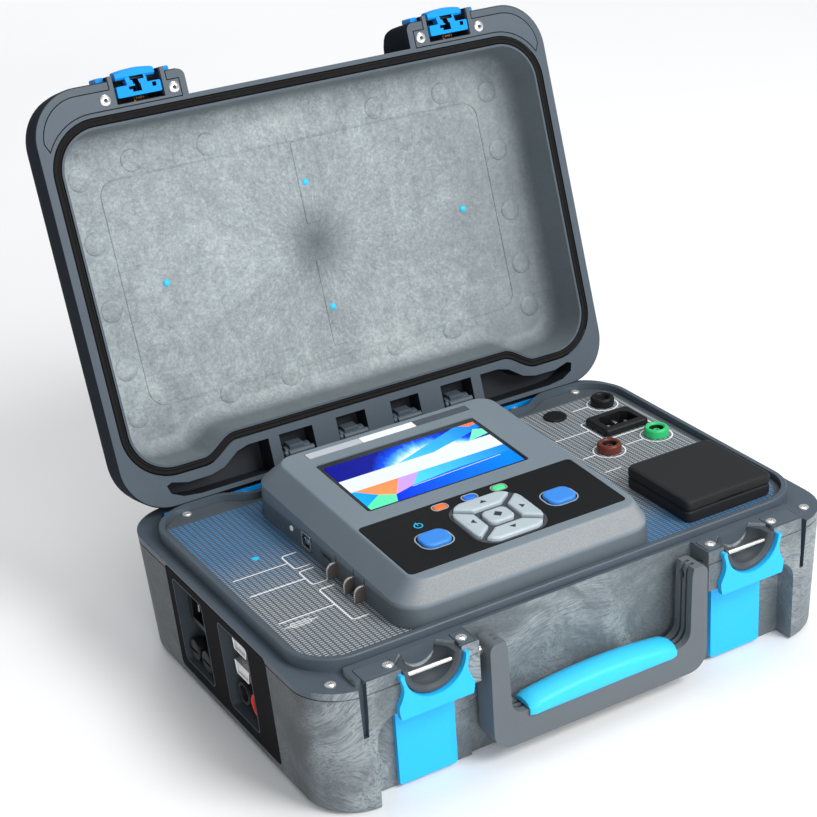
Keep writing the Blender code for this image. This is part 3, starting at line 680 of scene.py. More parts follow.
# Name, colour, roughness, grain scale, bump height, wear, specular level, metal share and clear coat
MOULDED = {
    # Painted shade: the lid's outer skin is made dark where shade falls on it.
    "lid_out": ("lid_outer_plastic", (0.015, 0.019, 0.027), 0.8, 300.0, 0.05, 0.2, 0.05),
    "flange": ("flange_plastic", (0.065, 0.086, 0.108), 0.42, 700.0, 0.04, 0.16),
    # Painted shade: near-black for hollows, pockets, slots and gaps where shade falls.
    "pocket": ("pocket_plastic", (0.012, 0.015, 0.02), 0.6, 700.0, 0.04, 0.2),
    "trim": ("trim_plastic", (0.073, 0.094, 0.117), 0.42),
    "handle": ("handle_plastic", (0.112, 0.128, 0.143), 0.5, 700.0, 0.05),
    "blue": ("blue_plastic", (0.018, 0.45, 0.93), 0.4, 900.0, 0.02, 0.06),
    "latch": ("latch_plastic", (0.003, 0.27, 0.76), 0.4, 900.0, 0.02, 0.08, 0.12),
    "cyan": ("grip_plastic", (0.035, 0.53, 0.91), 0.42, 900.0, 0.03, 0.06),
    "black": ("black_plastic", (0.0075, 0.008, 0.009), 0.42, 1200.0, 0.02, 0.2, 0.22),
    "matte": ("matte_film", (0.012, 0.012, 0.013), 0.75, 1200.0, 0.02, 0.2, 0.04),
    "cover": ("cover_plastic", (0.016, 0.0165, 0.0185), 0.5, 500.0, 0.09, 0.15, 0.2),
    "rubber": ("gasket_rubber", (0.012, 0.0115, 0.012), 0.75, 420.0, 0.1, 0.25, 0.15),
    "overlay": ("overlay_film", (0.009, 0.0094, 0.0102), 0.42, 1500.0, 0.015, 0.15, 0.12),
    "tray": ("tray_plastic", (0.055, 0.066, 0.075), 0.5),
    "lining": ("lining_plastic", (0.055, 0.07, 0.083), 0.6),
    "bright": ("bright_screw", (0.78, 0.78, 0.77), 0.22, 500.0, 0.02, 0.1, 0.3, 0.75),
    "green": ("green_plastic", (0.03, 0.5, 0.17), 0.36),
    "brown": ("brown_plastic", (0.13, 0.03, 0.018), 0.36),
    "red": ("red_plastic", (0.75, 0.02, 0.02), 0.36),
    "white_key": ("key_plastic", (0.42, 0.49, 0.53), 0.34, 1300.0, 0.01, 0.05),
    "blue_key": ("blue_key_plastic", (0.04, 0.235, 0.72), 0.32, 1300.0, 0.01, 0.08),
    "key_line": ("key_outline", (0.30, 0.34, 0.37), 0.45),
    "key_gap": ("key_gap", (0.06, 0.07, 0.08), 0.6, 1100.0, 0.03, 0.12, 0.15),
    "print": ("white_print", (0.82, 0.84, 0.85), 0.5, 900.0, 0.01, 0.04),
    "ink": ("dark_print", (0.03, 0.035, 0.04), 0.5, 900.0, 0.01, 0.04),
    "dot": ("blue_dot", (0.02, 0.5, 0.85), 0.4, 900.0, 0.01, 0.05),
    "board": ("board_resin", (0.02, 0.13, 0.05), 0.45),
    "lamp_orange": ("orange_lens", (0.95, 0.16, 0.03), 0.25, 900.0, 0.01, 0.1),
    "lamp_blue": ("blue_lens", (0.01, 0.16, 0.85), 0.25, 900.0, 0.01, 0.1),
    "lamp_green": ("green_lens", (0.07, 0.75, 0.25), 0.25, 900.0, 0.01, 0.1),
    "label_grey": ("label_grey", (0.45, 0.49, 0.52), 0.4, 900.0, 0.01, 0.05),
    "label_dark": ("label_dark", (0.06, 0.075, 0.095), 0.4, 900.0, 0.01, 0.05),
    "window": ("window_glass", (0.006, 0.006, 0.008), 0.12, 300.0, 0.0, 0.1, 0.3, 0.0, 0.5),
}

# Name, colour, roughness and metal share
BRUSHED = {
    "steel": ("steel", (0.72, 0.72, 0.7), 0.24),
    "copper": ("copper", (0.55, 0.24, 0.1), 0.3),
    "tab": ("fuse_tab", (0.2, 0.165, 0.145), 0.4, 0.7),
    "coil": ("coil_wire", (0.45, 0.2, 0.07), 0.4, 0.6),
}

# Two colours of the screen picture, the direction they fade in, where the fade starts and ends, and the glow
SCREEN = {
    "screen_white": ((0.7, 0.74, 0.78), (0.76, 0.79, 0.83), (0, 1), 0, 60, 0.15),
    "screen_azure": ((0.0, 0.42, 1.0), (0.01, 0.2, 0.98), (1, 0), -70, -45, 0.12),
    "screen_orange": ((1.0, 0.36, 0.12), (0.95, 0.2, 0.07), (0.5, 1), -60, 20, 0.12),
    "screen_lilac": ((0.62, 0.34, 0.8), (0.5, 0.35, 0.9), (1, 0), -50, -20, 0.1),
    "screen_cyan": ((0.08, 0.68, 1.0), (0.0, 0.2, 1.0), (1, 0.2), -40, 30, 0.12),
    "screen_deep": ((0.0, 0.02, 0.72), (0.0, 0.22, 1.0), (1, 0), -55, 20, 0.12),
    "screen_green": ((0.1, 0.85, 0.42), (0.2, 0.95, 0.55), (1, 0), -70, 25, 0.1),
}

M = {"case": case_plastic(), "lid_in": lid_inside(), "smooth": console_plastic(), "panel": panel_print()}
M["screen_sky"] = screen_sky()
M.update({key: moulded(*row) for key, row in MOULDED.items()})
M.update({key: brushed(*row) for key, row in BRUSHED.items()})
M.update({key: lit_print(key, *row) for key, row in SCREEN.items()})


# ---------------------------------------------------------------- case base


def case_outline(sides, front, rear):
    """Outline of the lower case, moved in by these distances."""
    return rounded(-HALF_WIDTH + sides, HALF_WIDTH - sides, FRONT + front, REAR - rear, CORNER, 14)


def trim_outlines(side):
    reach = RECEIVER_R + 0.3
    strips = ((LATCH_X + reach, 128.0), (HANDLE_BAY + 1.2, LATCH_X - reach))
    return [rounded(*span(side, near, far), FRONT + 1.5, -95.5, 1.2, 4) for near, far in strips]


def base_slot(c, n):
    """Marbled walls, smooth flange and corner grooves, and near-black painted shade in the hollow."""
    block_face = c.y < -100 and n.y < -0.5
    if c.z > 65.3 and not block_face and not (c.y < -96 and n.z < 0.5):
        return 1
    if 127 < abs(c.x) < 132 and FRONT + 0.2 < c.y < FRONT + 5 and c.z > 41:
        return 1
    # The hollow's inward faces take the near-black pocket material as painted shade.
    inward = (Vector((0, 0, 40)) - c).dot(n) > 0
    return 2 if abs(c.x) < 148 and -89 < c.y < 104 and 3 < c.z < 69 and inward else 0


def carve_latch_bay(shell, side):
    """Scoop, round latch pocket, corner groove, handle bore and strip seats at one side of the front."""
    cx = side * LATCH_X
    radii = (0.1, 12, 0.1, 0.1) if side > 0 else (0.1, 0.1, 12, 0.1)
    scoop = rounded(*span(side, HANDLE_BAY - 1, PILLAR_X), -5, SCOOP_TOP, radii)
    rows = []
    for y, radius in ((FRONT - 5, RECEIVER_R), (-101.5, RECEIVER_R), (-95.4, RECEIVER_R - 6.2)):
        arc = circle(cx, RECEIVER_Z + 0.4 * (RECEIVER_R - radius), radius, 28, 180, 180)
        rows.append((arc + [(cx + radius, 80), (cx - radius, 80)], y))
    groove = [(side * x, z) for x, z in ((127.4, 75), (128.0, 42), (130.6, 42), (131.8, 75))]
    cut(
        shell,
        prism("scoop", scoop, FRONT - 5, SCOOP_WALL, "Y"),
        stack("pocket", rows, "Y"),
        prism("groove", groove, FRONT - 5, FRONT + 3.5, "Y"),
        rod("bore", HANDLE_PIVOT, 2.8, *span(side, HANDLE_BAY - 2, 77)),
    )
    cut(shell, *[prism("trim_seat", offset(strip, 0.3), PLATE_Z - 2.3, 80) for strip in trim_outlines(side)])


def build_base():
    shrink = FLANGE_Z * DRAFT
    walls = ((0, shrink + 2.5), (0.9, shrink + 1.0), (2.2, shrink + 0.1), (4, shrink - 0.3), (FLANGE_Z, 0))
    shell = stack("base_shell_moulding", [(case_outline(inset, inset * 0.4, inset), z) for z, inset in walls])
    blocks = prism("blocks", rounded(-131, 131, FRONT, FRONT_WALL + 2, 2), SCOOP_TOP, PLATE_Z)
    steps = ((60, 1.5), (RIM_TOP - 0.5, 1.5), (RIM_TOP, 1.0))
    fuse(shell, blocks, stack("rim", [(rim_path(grow), z) for z, grow in steps]))
    seam = prism("seam", case_outline(-1, -1, -1), 64.6, 65.3)
    cut(seam, prism("core", case_outline(0.75, 0.6, 0.7), 60, 68))
    cavity = rounded(-HALF_WIDTH + 6.4, HALF_WIDTH - 6.4, FRONT_WALL + 3.2, REAR - 6.4, 20)
    cut(
        shell,
        prism("cavity", cavity, 3.5, 62),
        prism("neck", rim_path(-6.5), 58, 80),
        prism("seat", rim_path(-1.5), PANEL_Z - 2.8, 80),
        box("bay", -HANDLE_BAY, HANDLE_BAY, FRONT - 5, FRONT_WALL, -5, 80),
        seam,
    )
    for side in (-1, 1):
        carve_latch_bay(shell, side)
    cut(shell, side_slab("side_seat", offset(rounded(-57, 56, 6.5, 67.5, 3), 0.3), 3, 2.5))
    for y0, y1 in ((13.1, 48.9), (-37.4, -4.1)):
        cut(shell, side_slab("tray_way", offset(rounded(y0, y1, 13.1, 63.4, 3), 1.6), 2, 16))
    arms = []
    for x in KNUCKLES:
        arms.append(box("arm", x - 7.5, x + 7.5, 102.2, 106.8, 60, HINGE[1]))
        arms.append(rod("barrel", HINGE, 4.2, x - 7.5, x + 7.5))
    fuse(shell, *arms)
    cut(shell, rod("pin_way", HINGE, 2.08, -60, 60))
    place(shell, "case flange pocket", "base_shell", 0.45)
    paint(shell, base_slot)


def build_feet():
    """Flat pads that the case stands on."""
    pads = [prism("pad", pill(x, y, 14, 8, 7), 0.0, 0.9) for x in (-112, 112) for y in (-66, 80)]
    place(merged("base_foot_pads", pads), "rubber", width=0.2)


# ---------------------------------------------------------------- screws


def place_screws(name, spots, radius, height, body="case_base", turn=UPRIGHT):
    """Bright raised heads with a dark disc of painted shade in the shallow driver recess, as one piece; spots
    are their seats.
    """
    shares = ((1, 0.35), (0.86, 0.72), (0.5, 1), (0.36, 1), (0.3, 0.15), (0, 0.1))
    dome = [(0, -0.2), (radius, -0.2)] + [(radius * r, height * h) for r, h in shares]
    heads = merged(name, [turned("head", dome, spot, 28, turn) for spot in spots])
    place(heads, "bright ink", None, 0.0, body)
    # Painted shade: the centre faces of each head take the dark print material.
    paint(heads, lambda c, n: min((c - Vector(spot)).length for spot in spots) < radius * 0.34)


def build_screws():
    place_screws("panel_screws", [(s * 125, 89.9, PANEL_Z) for s in (-1, 1)], 2.6, 1.0)
    place_screws("rear_flange_screws", [(s * 87.2, 97.4, 69.3) for s in (-1, 1)], 2.2, 0.9)
    spots = ((139.6, -95.9, 69.1), (112.6, -101.5, 72.2), (73.4, -101.5, 72.2))
    place_screws("latch_plate_screws", [(s * x, y, z) for s in (-1, 1) for x, y, z in spots], 2.8, 1.0)


# ---------------------------------------------------------------- panel


def socket(name, spot, colour, replaces, turn=UPRIGHT):
    """Shrouded 4 mm socket: collar with a rounded lip, a moat and a centre post."""
    collar = [(0, -13.0), (4.4, -13.0), (5.0, -12.0), (5.0, 0.0), (6.8, 0.0), (6.9, 0.6), (6.9, 3.6)]
    collar += [(6.5, 4.5), (5.9, 4.95), (4.9, 4.9), (4.3, 4.4)]
    moat = [(4.1, 3.8), (4.1, -11.0), (2.3, -11.0)]
    post = [(2.3, 2.4), (1.9, 2.8), (1.2, 2.8), (1.0, 2.4), (1.0, -4.0), (0, -4.0)]
    steps = 56
    body = turned(name, collar + moat + post, spot, steps, turn)
    place(body, f"{colour} pocket", replaces, 0.0)
    # The moat's faces take the near-black pocket material as painted shade.
    for face in body.data.polygons:
        face.material_index = 0 <= face.index // steps - len(collar) < len(moat)


def build_panel():
    panel = prism("panel_face", rim_path(-1.8), 69.5, PANEL_Z)
    cut(
        panel,
        *[prism("hole", circle(*spot, 5.4), 60, 80) for spot in (*PANEL_SOCKETS.values(), BLANK_CAP)],
        prism("inlet_hole", rounded(105.2, 131.6, 30.1, 48.4, 2), 60, 80),
        prism("outlet_hole", circle(*OUTLET, 21.0, 60), 60, 80),
        box("console_opening", -78, 40, -70, 50, 60, 80),
    )
    place(panel, "panel", "panel_plate", 0.2, segments=1)
    for name, spot in PANEL_SOCKETS.items():
        socket(f"test_terminal_{name}", (*spot, PANEL_Z + 0.2), name, f"socket_{name}")
    plug = [(0, -4), (5.1, -4), (5.1, 0.2), (6.6, 0.2), (6.8, 0.6), (6.6, 1.15), (6.1, 1.4), (2.0, 1.55)]
    plug.append((0, 1.55))
    place(turned("blanking_plug", plug, (*BLANK_CAP, PANEL_Z), 48), "black", "blank_cap", 0.0)
    build_print()
    build_inlet()
    build_test_outlet()


def corner_path(points, radius=2.0, steps=4):
    """Open path with its inner corners rounded."""
    path = [points[0]]
    for before, here, after in zip(points, points[1:], points[2:]):
        b, h, a = Vector(before), Vector(here), Vector(after)
        first, last = h + (b - h).normalized() * radius, h + (a - h).normalized() * radius
        for i in range(steps + 1):
            t = i / steps
            path.append(tuple(first * (1 - t) ** 2 + h * 2 * t * (1 - t) + last * t * t))
    path.append(points[-1])
    return path


def build_print():
    """White leader lines, brackets and outlines printed on the panel, and a blue dot."""
    lines = [closed_loop(circle(*spot, 9.0, 44)) for spot in PANEL_SOCKETS.values()]
    lines.append(closed_loop(rounded(101.4, 135.3, 26.6, 51.8, 2.6, 5)))
    near, far = BRACKET_X
    for rear, front in LEFT_BRACKETS:
        lines.append(corner_path([(near, rear), (far, rear), (far, front), (near, front)]))
    lines += [[(LEADER_X, y), (far, y)] for y in LEFT_LEADERS]
    lines += [[(x0, y), (x1, y)] for x0, x1, y in RIGHT_LEADERS]
    x0, x1, y = FUSE_SYMBOL
    fuse_lines = [closed_loop(rounded(x0 + 4, x1 - 4, y - 1.7, y + 1.7, 0.4, 2)), [(x0, y), (x1, y)]]
    place(ribbon("fuse_outline", fuse_lines, 0.42, 0.06, on_panel), "print", width=None)
    place(ribbon("panel_markings", lines, 0.75, 0.06, on_panel), "print", width=None)
    disc = [(0, 0), (1.9, 0), (1.9, 0.08), (0, 0.08)]
    place(turned("radio_marker_dot", disc, on_panel(*RADIO_DOT, 0), 28), "dot", width=None)


def build_inlet():
    flange, crown = rounded(103.6, 133.2, 28.5, 50.0, 2), rounded(104.6, 132.2, 29.5, 49.0, 1.6)
    rows = ((flange, PANEL_Z + 0.3), (flange, PANEL_Z + 3.2), (crown, PANEL_Z + 4.2))
    body = stack("panel_inlet_body", rows)
    fuse(body, prism("body", rounded(105.5, 131.3, 30.4, 48.1, 2), PANEL_Z - 14, PANEL_Z + 2))
    mouth = [(108, 32.8), (128.8, 32.8), (128.8, 42.5), (125.5, 46), (111.3, 46), (108, 42.5)]
    cut(body, prism("mouth", mouth, PANEL_Z - 11, PANEL_Z + 6))
    place(body, "black", "panel_mains_inlet", 0.3)
    pins = [prism("pin", pill(x, y, 0.9, 2, 0.4, 3), PANEL_Z - 11.5, PANEL_Z + 1)
            for x, y in ((112.5, 38.0), (118.4, 41.5), (124.3, 38.0))]
    place(merged("panel_inlet_pins", pins), "steel", width=0.2)


def build_test_outlet():
    """Mains outlet with its frame, its hinged cover and the two contact tubes."""
    cx, cy = OUTLET
    front, rear = -79.0, -25.6

    def block(name, rows):
        outlines = [rounded(77.0 + i, 132.5 - i, front + i, rear - i, 3.5, 7) for _, i in rows]
        return stack(name, [(outline, PANEL_Z + z) for outline, (z, _) in zip(outlines, rows)])

    body = block("test_socket_base", ((0.3, 0.6), (1.2, 0.1), (5.6, 0.0), (6.6, 0.5)))
    cut(body, prism("opening", circle(*OUTLET, 21.0, 60), 60, 90))
    place(body, "cover", "test_socket_frame", 0.25)
    crown = ((7.0, 0.5), (7.6, 0.0), (11.0, 0.0), (12.1, 0.5), (12.65, 1.5), (12.8, 2.6))
    lid = block("test_socket_lid", crown)
    underside = rounded(79.4, 130.1, front + 2.4, rear - 2.4, 2)
    notch = rounded(cx - 8, cx + 8, front - 3, front + 1.1, 1.5, 3)
    cut(lid, prism("underside", underside, PANEL_Z + 6, PANEL_Z + 10.4),
        prism("finger_notch", notch, PANEL_Z + 6, PANEL_Z + 8.2))
    place(lid, "cover", "test_socket_cover", 0.3, "test_cover")
    hinge = [rod("barrel", (rear - 2.2, PANEL_Z + 6.8), 1.6, x - 5, x + 5, 24) for x in (88.0, 121.6)]
    hinge.append(rod("pin", (rear + 0.3, PANEL_Z + 5.6), 0.9, 86, 124, 20))
    place(merged("test_cover_hinge_barrels", hinge), "steel", width=0.15)
    profile = [(0, 0), (3.1, 0), (3.1, 2.2), (2.4, 2.2), (2.4, 0.6), (0, 0.6)]
    tubes = [turned("tube", profile, (cx + shift, cy, PANEL_Z - 11.0), 28) for shift in (-9.5, 9.5)]
    place(merged("outlet_contact_tubes", tubes), "steel", width=0.1)


# ---------------------------------------------------------------- console


def build_console():
    top = rounded(-84.0, 45.5, 0.5, 142.5, 9, 12)
    waist = rounded(-92.8, 54.0, -84.4, 74.5, 15, 12)
    low = [Vector((x, y, 83.5 + 0.045 * (y + 84.4))) for x, y in waist]
    high = [Vector(p) for p in console_ring(offset(top, 0.8), -0.9)]

    def between(share, lift=0.0):
        """Ring part of the way up the sloping sides."""
        return [a * (1 - share) + b * share + Vector((0, 0, lift)) for a, b in zip(low, high)]

    rings = [along("Z", rounded(-93.3, 54.5, -84.8, 75.0, 15, 12), PANEL_Z + 0.3)]
    rings += [between(0.0, -1.6), between(0.02, 0.1), between(0.08), between(0.9), high]
    rings += [console_ring(offset(top, 0.3), -0.3), console_ring(offset(top, -0.5), 0.0)]
    housing = loft("console_body", rings)
    hollow = rounded(-87, 48, -78, 68, 8)
    ceiling = console_ring(rounded(-79, 40.5, 5.5, 137.5, 5), -3.6)
    cut(housing, loft("hollow", [along("Z", hollow, 70), along("Z", hollow, 80), ceiling]))
    cut(
        housing,
        console_prism("window_way", offset(rounded(*DISPLAY, 1.5, 4), 0.3), -8, 3),
        console_prism("overlay_seat", offset(rounded(*KEYPAD, 2.5, 5), 0.3), -1.1, 3),
        console_prism("key_well", rounded(-70, 30, 12, 56, 3), -6, 0),
        console_prism("label_seat", rounded(-69.4, 29.4, 132.9, 139.1, 0.5, 3), -0.35, 3),
        prism("usb_way", rounded(8.2, 18.8, 74.2, 83.8, 1.4, 4), -96, -82, "X"),
        prism("card_slot", rounded(-12.5, -0.5, 78.0, 80.2, 0.9, 4), -96, -82, "X"),
        prism("side_step", rounded(4.0, 40.0, 74.0, 86.2, 1.0, 3), -96, -92.9, "X"),
    )
    for y in FUSE_TABS:
        cut(housing, box("tab_way", -96, -84, y - 0.9, y + 0.9, 72.7, 84.5))
    place(housing, "smooth", "console_housing", 0.4, segments=3)
    strips = (("light", -69, -37.3, "label_grey"), ("white", -37, -4.3, "print"),
              ("dark", -4, 29, "label_dark"))
    for name, x0, x1, look in strips:
        label = console_prism(f"console_label_{name}", rounded(x0, x1, 133.2, 138.8, 0.25, 2), -0.34, 0.03)
        place(label, look, width=0.05)
    bulb = [(0, -1), (1.5, -1), (1.5, 0.1), (1.1, 0.5), (0, 0.7)]
    place(turned("port_lamp", bulb, (-93.2, 30.0, 79.2), 24, LEFTWARDS), "print", width=0.0)
    build_display()
    build_keys()


def build_display():
    """Clear window and the pieces of an abstract picture under it, in shares of the picture's size."""
    place_node("display_window", "window", 0.25)
    x0, x1, y0, y1 = DISPLAY
    left, low = x0 + 1.9, y0 + 1.3
    width, height = x1 - 1.9 - left, y1 - 4.4 - low
    tiles = (
        ("sky", "sky", 0, ((0, 0.66), (1, 0.66), (1, 1), (0, 1))),
        ("band", "white", 0, ((0, 0.40), (1, 0.40), (1, 0.66), (0, 0.66))),
        ("blue_left", "azure", 0, ((0, 0.07), (0.115, 0.215), (0.02, 0.40), (0, 0.40))),
        ("orange", "orange", 0, ((0.115, 0.215), (0.2, 0.125), (0.30, 0.40), (0.02, 0.40))),
        ("lilac", "lilac", 0, ((0.2, 0.125), (0.33, 0.19), (0.43, 0.40), (0.30, 0.40))),
        ("cyan", "cyan", 0, ((0.33, 0.19), (0.62, 0.24), (1, 0.26), (1, 0.40), (0.43, 0.40))),
        ("deep", "deep", 0, ((0, 0), (0.02, 0), (1, 0), (1, 0.26), (0.62, 0.24), (0.33, 0.19), (0.2, 0.125))),
        ("green", "green", 0.02, ((0, 0), (0.17, 0), (0.2, 0.125), (0.115, 0.215), (0, 0.07))),
        ("rule", "white", 0.03, ((0.32, 0.17), (0.92, 0.228), (0.92, 0.236), (0.32, 0.178))),
        ("sweep", "cyan", 0.02, ((0.38, 0.66), (0.62, 0.66), (1, 0.86), (1, 1), (0.86, 1))),
        ("corner_green", "green", 0.04, ((0.86, 0.66), (1, 0.70), (1, 0.82), (0.95, 0.86))),
        ("corner_orange", "orange", 0.05, ((0.90, 1), (0.95, 0.93), (1, 0.95), (1, 1))),
    )
    for name, look, lift, shares in tiles:
        outline = [(left + u * width, low + v * height) for u, v in shares]
        tile = console_prism(f"screen_{name}", outline, -0.38 + lift, -0.30 + lift)
        place(tile, f"screen_{look}", width=None)


def key_outlines():
    """Two side keys, and a round pad of four cursor keys about a centre key."""
    keys = {name: pill(*spot, 7.9, 6.6, 4.8) for name, spot in SIDE_KEYS.items()}
    x, y = PAD
    keys["key_centre"] = pill(x, y, 7.6, 6.4, 4)
    upper = doubled([(8.2, 9.0), (9.6, 10.2), (16.6, 15.4), (14.6, 18.2), (11.0, 19.8)])
    flank = [(9.4, 6.6), (10.8, 7.8), (18.0, 13.6), (19.4, 11.6), (20.0, 8.6)]
    right = [(a, -b) for a, b in flank] + flank[::-1]
    keys["key_up"] = [(x + a, y + b) for a, b in upper]
    keys["key_down"] = [(x + a, y - b) for a, b in reversed(upper)]
    keys["key_right"] = [(x + a, y + b) for a, b in right]
    keys["key_left"] = [(x - a, y + b) for a, b in reversed(right)]
    return keys


def build_keys():
    """Black keypad film, the pad's bed, seven keys and the printed rings."""
    outlines = key_outlines()
    overlay = console_prism("keypad_film", rounded(*KEYPAD, 2.5, 6), -0.8, 0.15)
    ways = [pill(*PAD, 20.8, 20.8, 11, 10)] + [offset(outlines[name], 0.4) for name in SIDE_KEYS]
    ways += [pill(x, LAMP_Y, 3.7, 2.25, 1.8, 5) for x in LAMPS.values()]
    cut(overlay, *[console_prism("way", way, -3, 3) for way in ways])
    place(overlay, "overlay", "keypad_overlay", 0.12)
    bed = console_prism("pad_bed", pill(*PAD, 20.6, 20.6, 11, 10), -0.7, 0.35)
    cut(bed, *[console_prism("way", outlines[name], -3, 3) for name in outlines if name not in SIDE_KEYS])
    place(bed, "key_gap", width=0.15)
    for name, outline in outlines.items():
        on_side = name in SIDE_KEYS
        look, high, gap = ("blue_key", 1.9, 0.0) if on_side else ("white_key", 2.3, 0.35)
        outline = offset(outline, -gap)
        rings = [console_ring(outline, -3.6), console_ring(outline, high - 1.0)]
        for inset, level in ((0.12, 0.6), (0.45, 0.27), (0.95, 0.07), (1.7, 0.0)):
            rings.append(console_ring(offset(outline, -inset), high - level))
        place(loft(f"{name}_cap", rings), look, name, 0.0, name.replace("key_", "") + "_key")
    edges = [offset(outlines[name], 1.1) for name in SIDE_KEYS]
    edges += [pill(x, LAMP_Y, 4.2, 2.75, 2.3, 5) for x in LAMPS.values()]
    rings = ribbon("key_outline_rings", [closed_loop(edge) for edge in edges], 0.7, 0.1, on_keypad)
    place(rings, "key_line", width=None)
    build_lamps()
    build_key_marks()


def build_lamps():
    for name, x in LAMPS.items():
        full = pill(x, LAMP_Y, 3.55, 2.1, 1.7, 5)
        dome = ((0, -3.2), (0, 0.3), (0.4, 0.62), (1.0, 0.7))
        lens = loft(f"{name}_lens", [console_ring(offset(full, -inset), level) for inset, level in dome])
        place(lens, name, name, 0.0)


def build_key_marks():
    """Arrow heads, a plain diamond and the ring with a stroke, none of them letters."""
    x, y = PAD
    marks = {
        "arrow_up": ("up_key", (-2.0, 13.0), (2.0, 13.0), (0, 15.6)),
        "arrow_down": ("down_key", (2.0, -13.0), (-2.0, -13.0), (0, -15.6)),
        "arrow_right": ("right_key", (13.2, 2.0), (13.2, -2.0), (15.8, 0)),
        "arrow_left": ("left_key", (-13.2, -2.0), (-13.2, 2.0), (-15.8, 0)),
        "start_mark": ("centre_key", (0, -2.6), (2.6, 0), (0, 2.6), (-2.6, 0)),
    }
    for name, (key, *outline) in marks.items():
        mark = console_prism(name, [(x + a, y + b) for a, b in outline], 2.2, 2.34)
        place(mark, "ink", width=None, body=key)
    px, py = POWER_MARK
    ring = [closed_loop(circle(px, py, 2.1, 28)), [(px, py), (px, py + 3.2)]]
    place(ribbon("power_mark", ring, 0.55, 0.1, on_keypad), "dot", width=None)


# ---------------------------------------------------------------- latches and handle on the base


def build_base_latches():
    bowl = [(FRONT - 1.2, 15.9, 14.3), (FRONT - 0.9, 15.9, 13.9), (FRONT + 0.6, 15.9, 12.6)]
    bowl += [(-101.8, 15.9, 12.3), (-96.3, 10.4, 8.6)]
    for name, side in SIDES:
        cx = side * LATCH_X
        for label in ("outer", "inner"):
            place_node(f"base_trim_{name}_{label}", "trim", 0.2)
        rows = []
        for y, outer, inner in bowl:
            hollow = circle(cx, RECEIVER_Z, inner, 28, 180, 180)
            rows.append((circle(cx, RECEIVER_Z, outer, 28, 180, 180) + hollow[::-1], y))
        place(stack(f"latch_bowl_{name}", rows, "Y"), "tray", f"latch_receiver_{name}")
        place_node(f"catch_pin_{name}", "steel", 0.0).data.set_sharp_from_angle(angle=math.radians(50))
        build_latch_plate(name, cx)


def build_latch_plate(name, cx):
    """Blue plate: a yoke under the round pocket, a web and an apron that hangs in the scoop."""
    flank = [(19.4, 47.0), (20.2, 51.0)]
    flank += [(20.2 - 2.3 * math.sin(math.pi * i / 8) - 0.2 * i, 54 + 1.85 * i) for i in range(9)]
    flank.append((18.3, 70.0))
    arc = circle(0, RECEIVER_Z, RECEIVER_R + 0.3, 32, 180, 180)
    yoke = flank + [(x, min(z, 70.0)) for x, z in reversed(arc)] + [(-x, z) for x, z in reversed(flank)]
    plate = prism(f"latch_apron_{name}", [(cx + x, z) for x, z in yoke], FRONT - 3.4, FRONT - 0.3, "Y")
    fuse(
        plate,
        box("web", cx - 15.9, cx + 15.9, FRONT - 3.0, SCOOP_WALL - 0.5, 47.1, SCOOP_TOP - 0.3),
        prism("apron", rounded(cx - 16, cx + 16, 1.6, 49.0, 1.6, 5), SCOOP_WALL - 3.0, SCOOP_WALL - 0.3, "Y"),
    )
    place(plate, "blue", f"latch_plate_{name}", 0.5, segments=3)


def handle_inner(grow=0.0):
    """Inner outline of the handle's bail, moved out by a distance."""
    half = [(55.5, 68.6), (54.5, 64), (53.5, 33), (52.9, 30.4), (51.5, 28.2), (49.4, 26.7), (47, 26)]
    return [(x + math.copysign(grow, x), z - grow * (z < 60)) for x, z in doubled(half)]


def build_handle():
    """Flat bail with two channels round its inner edge, and its two pins."""
    outer = circle(-60, 64.6, 4, 5, 90, 90) + circle(-53, 19.5, 11, 8, 180, 90)
    outer += circle(53, 19.5, 11, 8, 270, 90) + circle(60, 64.6, 4, 5, 0, 90)
    body = prism("handle_bail", outer + handle_inner(), -111.6, -98.2, "Y")
    channel = [(59.2, 76.0)] + handle_inner(3.4) + [(-59.2, 76.0)]
    for y0, y1 in ((-107.4, -105.3), (-103.6, -101.6)):
        cut(body, prism("channel", channel, y0, y1, "Y"))
    for side in (-1, 1):
        cut(body, prism("relief", rounded(*span(side, 58.9, 62.0), 18, 52, 1.5, 4), -104.5, -90, "Y"))
        cut(body, rod("bore", HANDLE_PIVOT, 2.58, *span(side, 50, 70)))
    place(body, "handle", "handle_frame", 0.7, "carrying_handle", 3)
    for name, _ in SIDES:
        place_node(f"handle_pin_{name}", "steel", 0.2)


def build_grip():
    """Blue sleeve on the handle's lower bar: thickest in the middle, with rounded ends."""
    sections = []
    for i in range(27):
        x = -44 + 88 * i / 26
        lift = 3.4 * (1 - (x / 44) ** 2)
        edge = min(1.0, (44 - abs(x)) / 3.5)
        tuck = 1.3 * (1 - math.sqrt(max(0.0, 1 - (1 - edge) ** 2)))
        face = ((-112.8, 22.4, 0), (-113.8, 23.0, 0.3), (-114.3, 24.6, 0.8), (-114.2, 26.4, 1))
        crown = [(-113.2 + tuck, 28.2), (-111.0, 29.6), (-108.2, 30.4), (-105.0, 30.6), (-102.0, 29.9)]
        crown += [(-99.4, 28.5), (-98.6, 27.2)]
        profile = [(-98.6, 26.4), (-111.9, 26.4), (-111.9, 22.6)]
        profile += [(y + tuck, z + lift * share) for y, z, share in face]
        profile += [(y, z + lift - tuck) for y, z in crown]
        sections.append((profile, x))
    place(stack("handle_grip_cover", sections, "X"), "cyan", "handle_grip", 0.35, "carrying_handle", 3)


# ---------------------------------------------------------------- side connectors


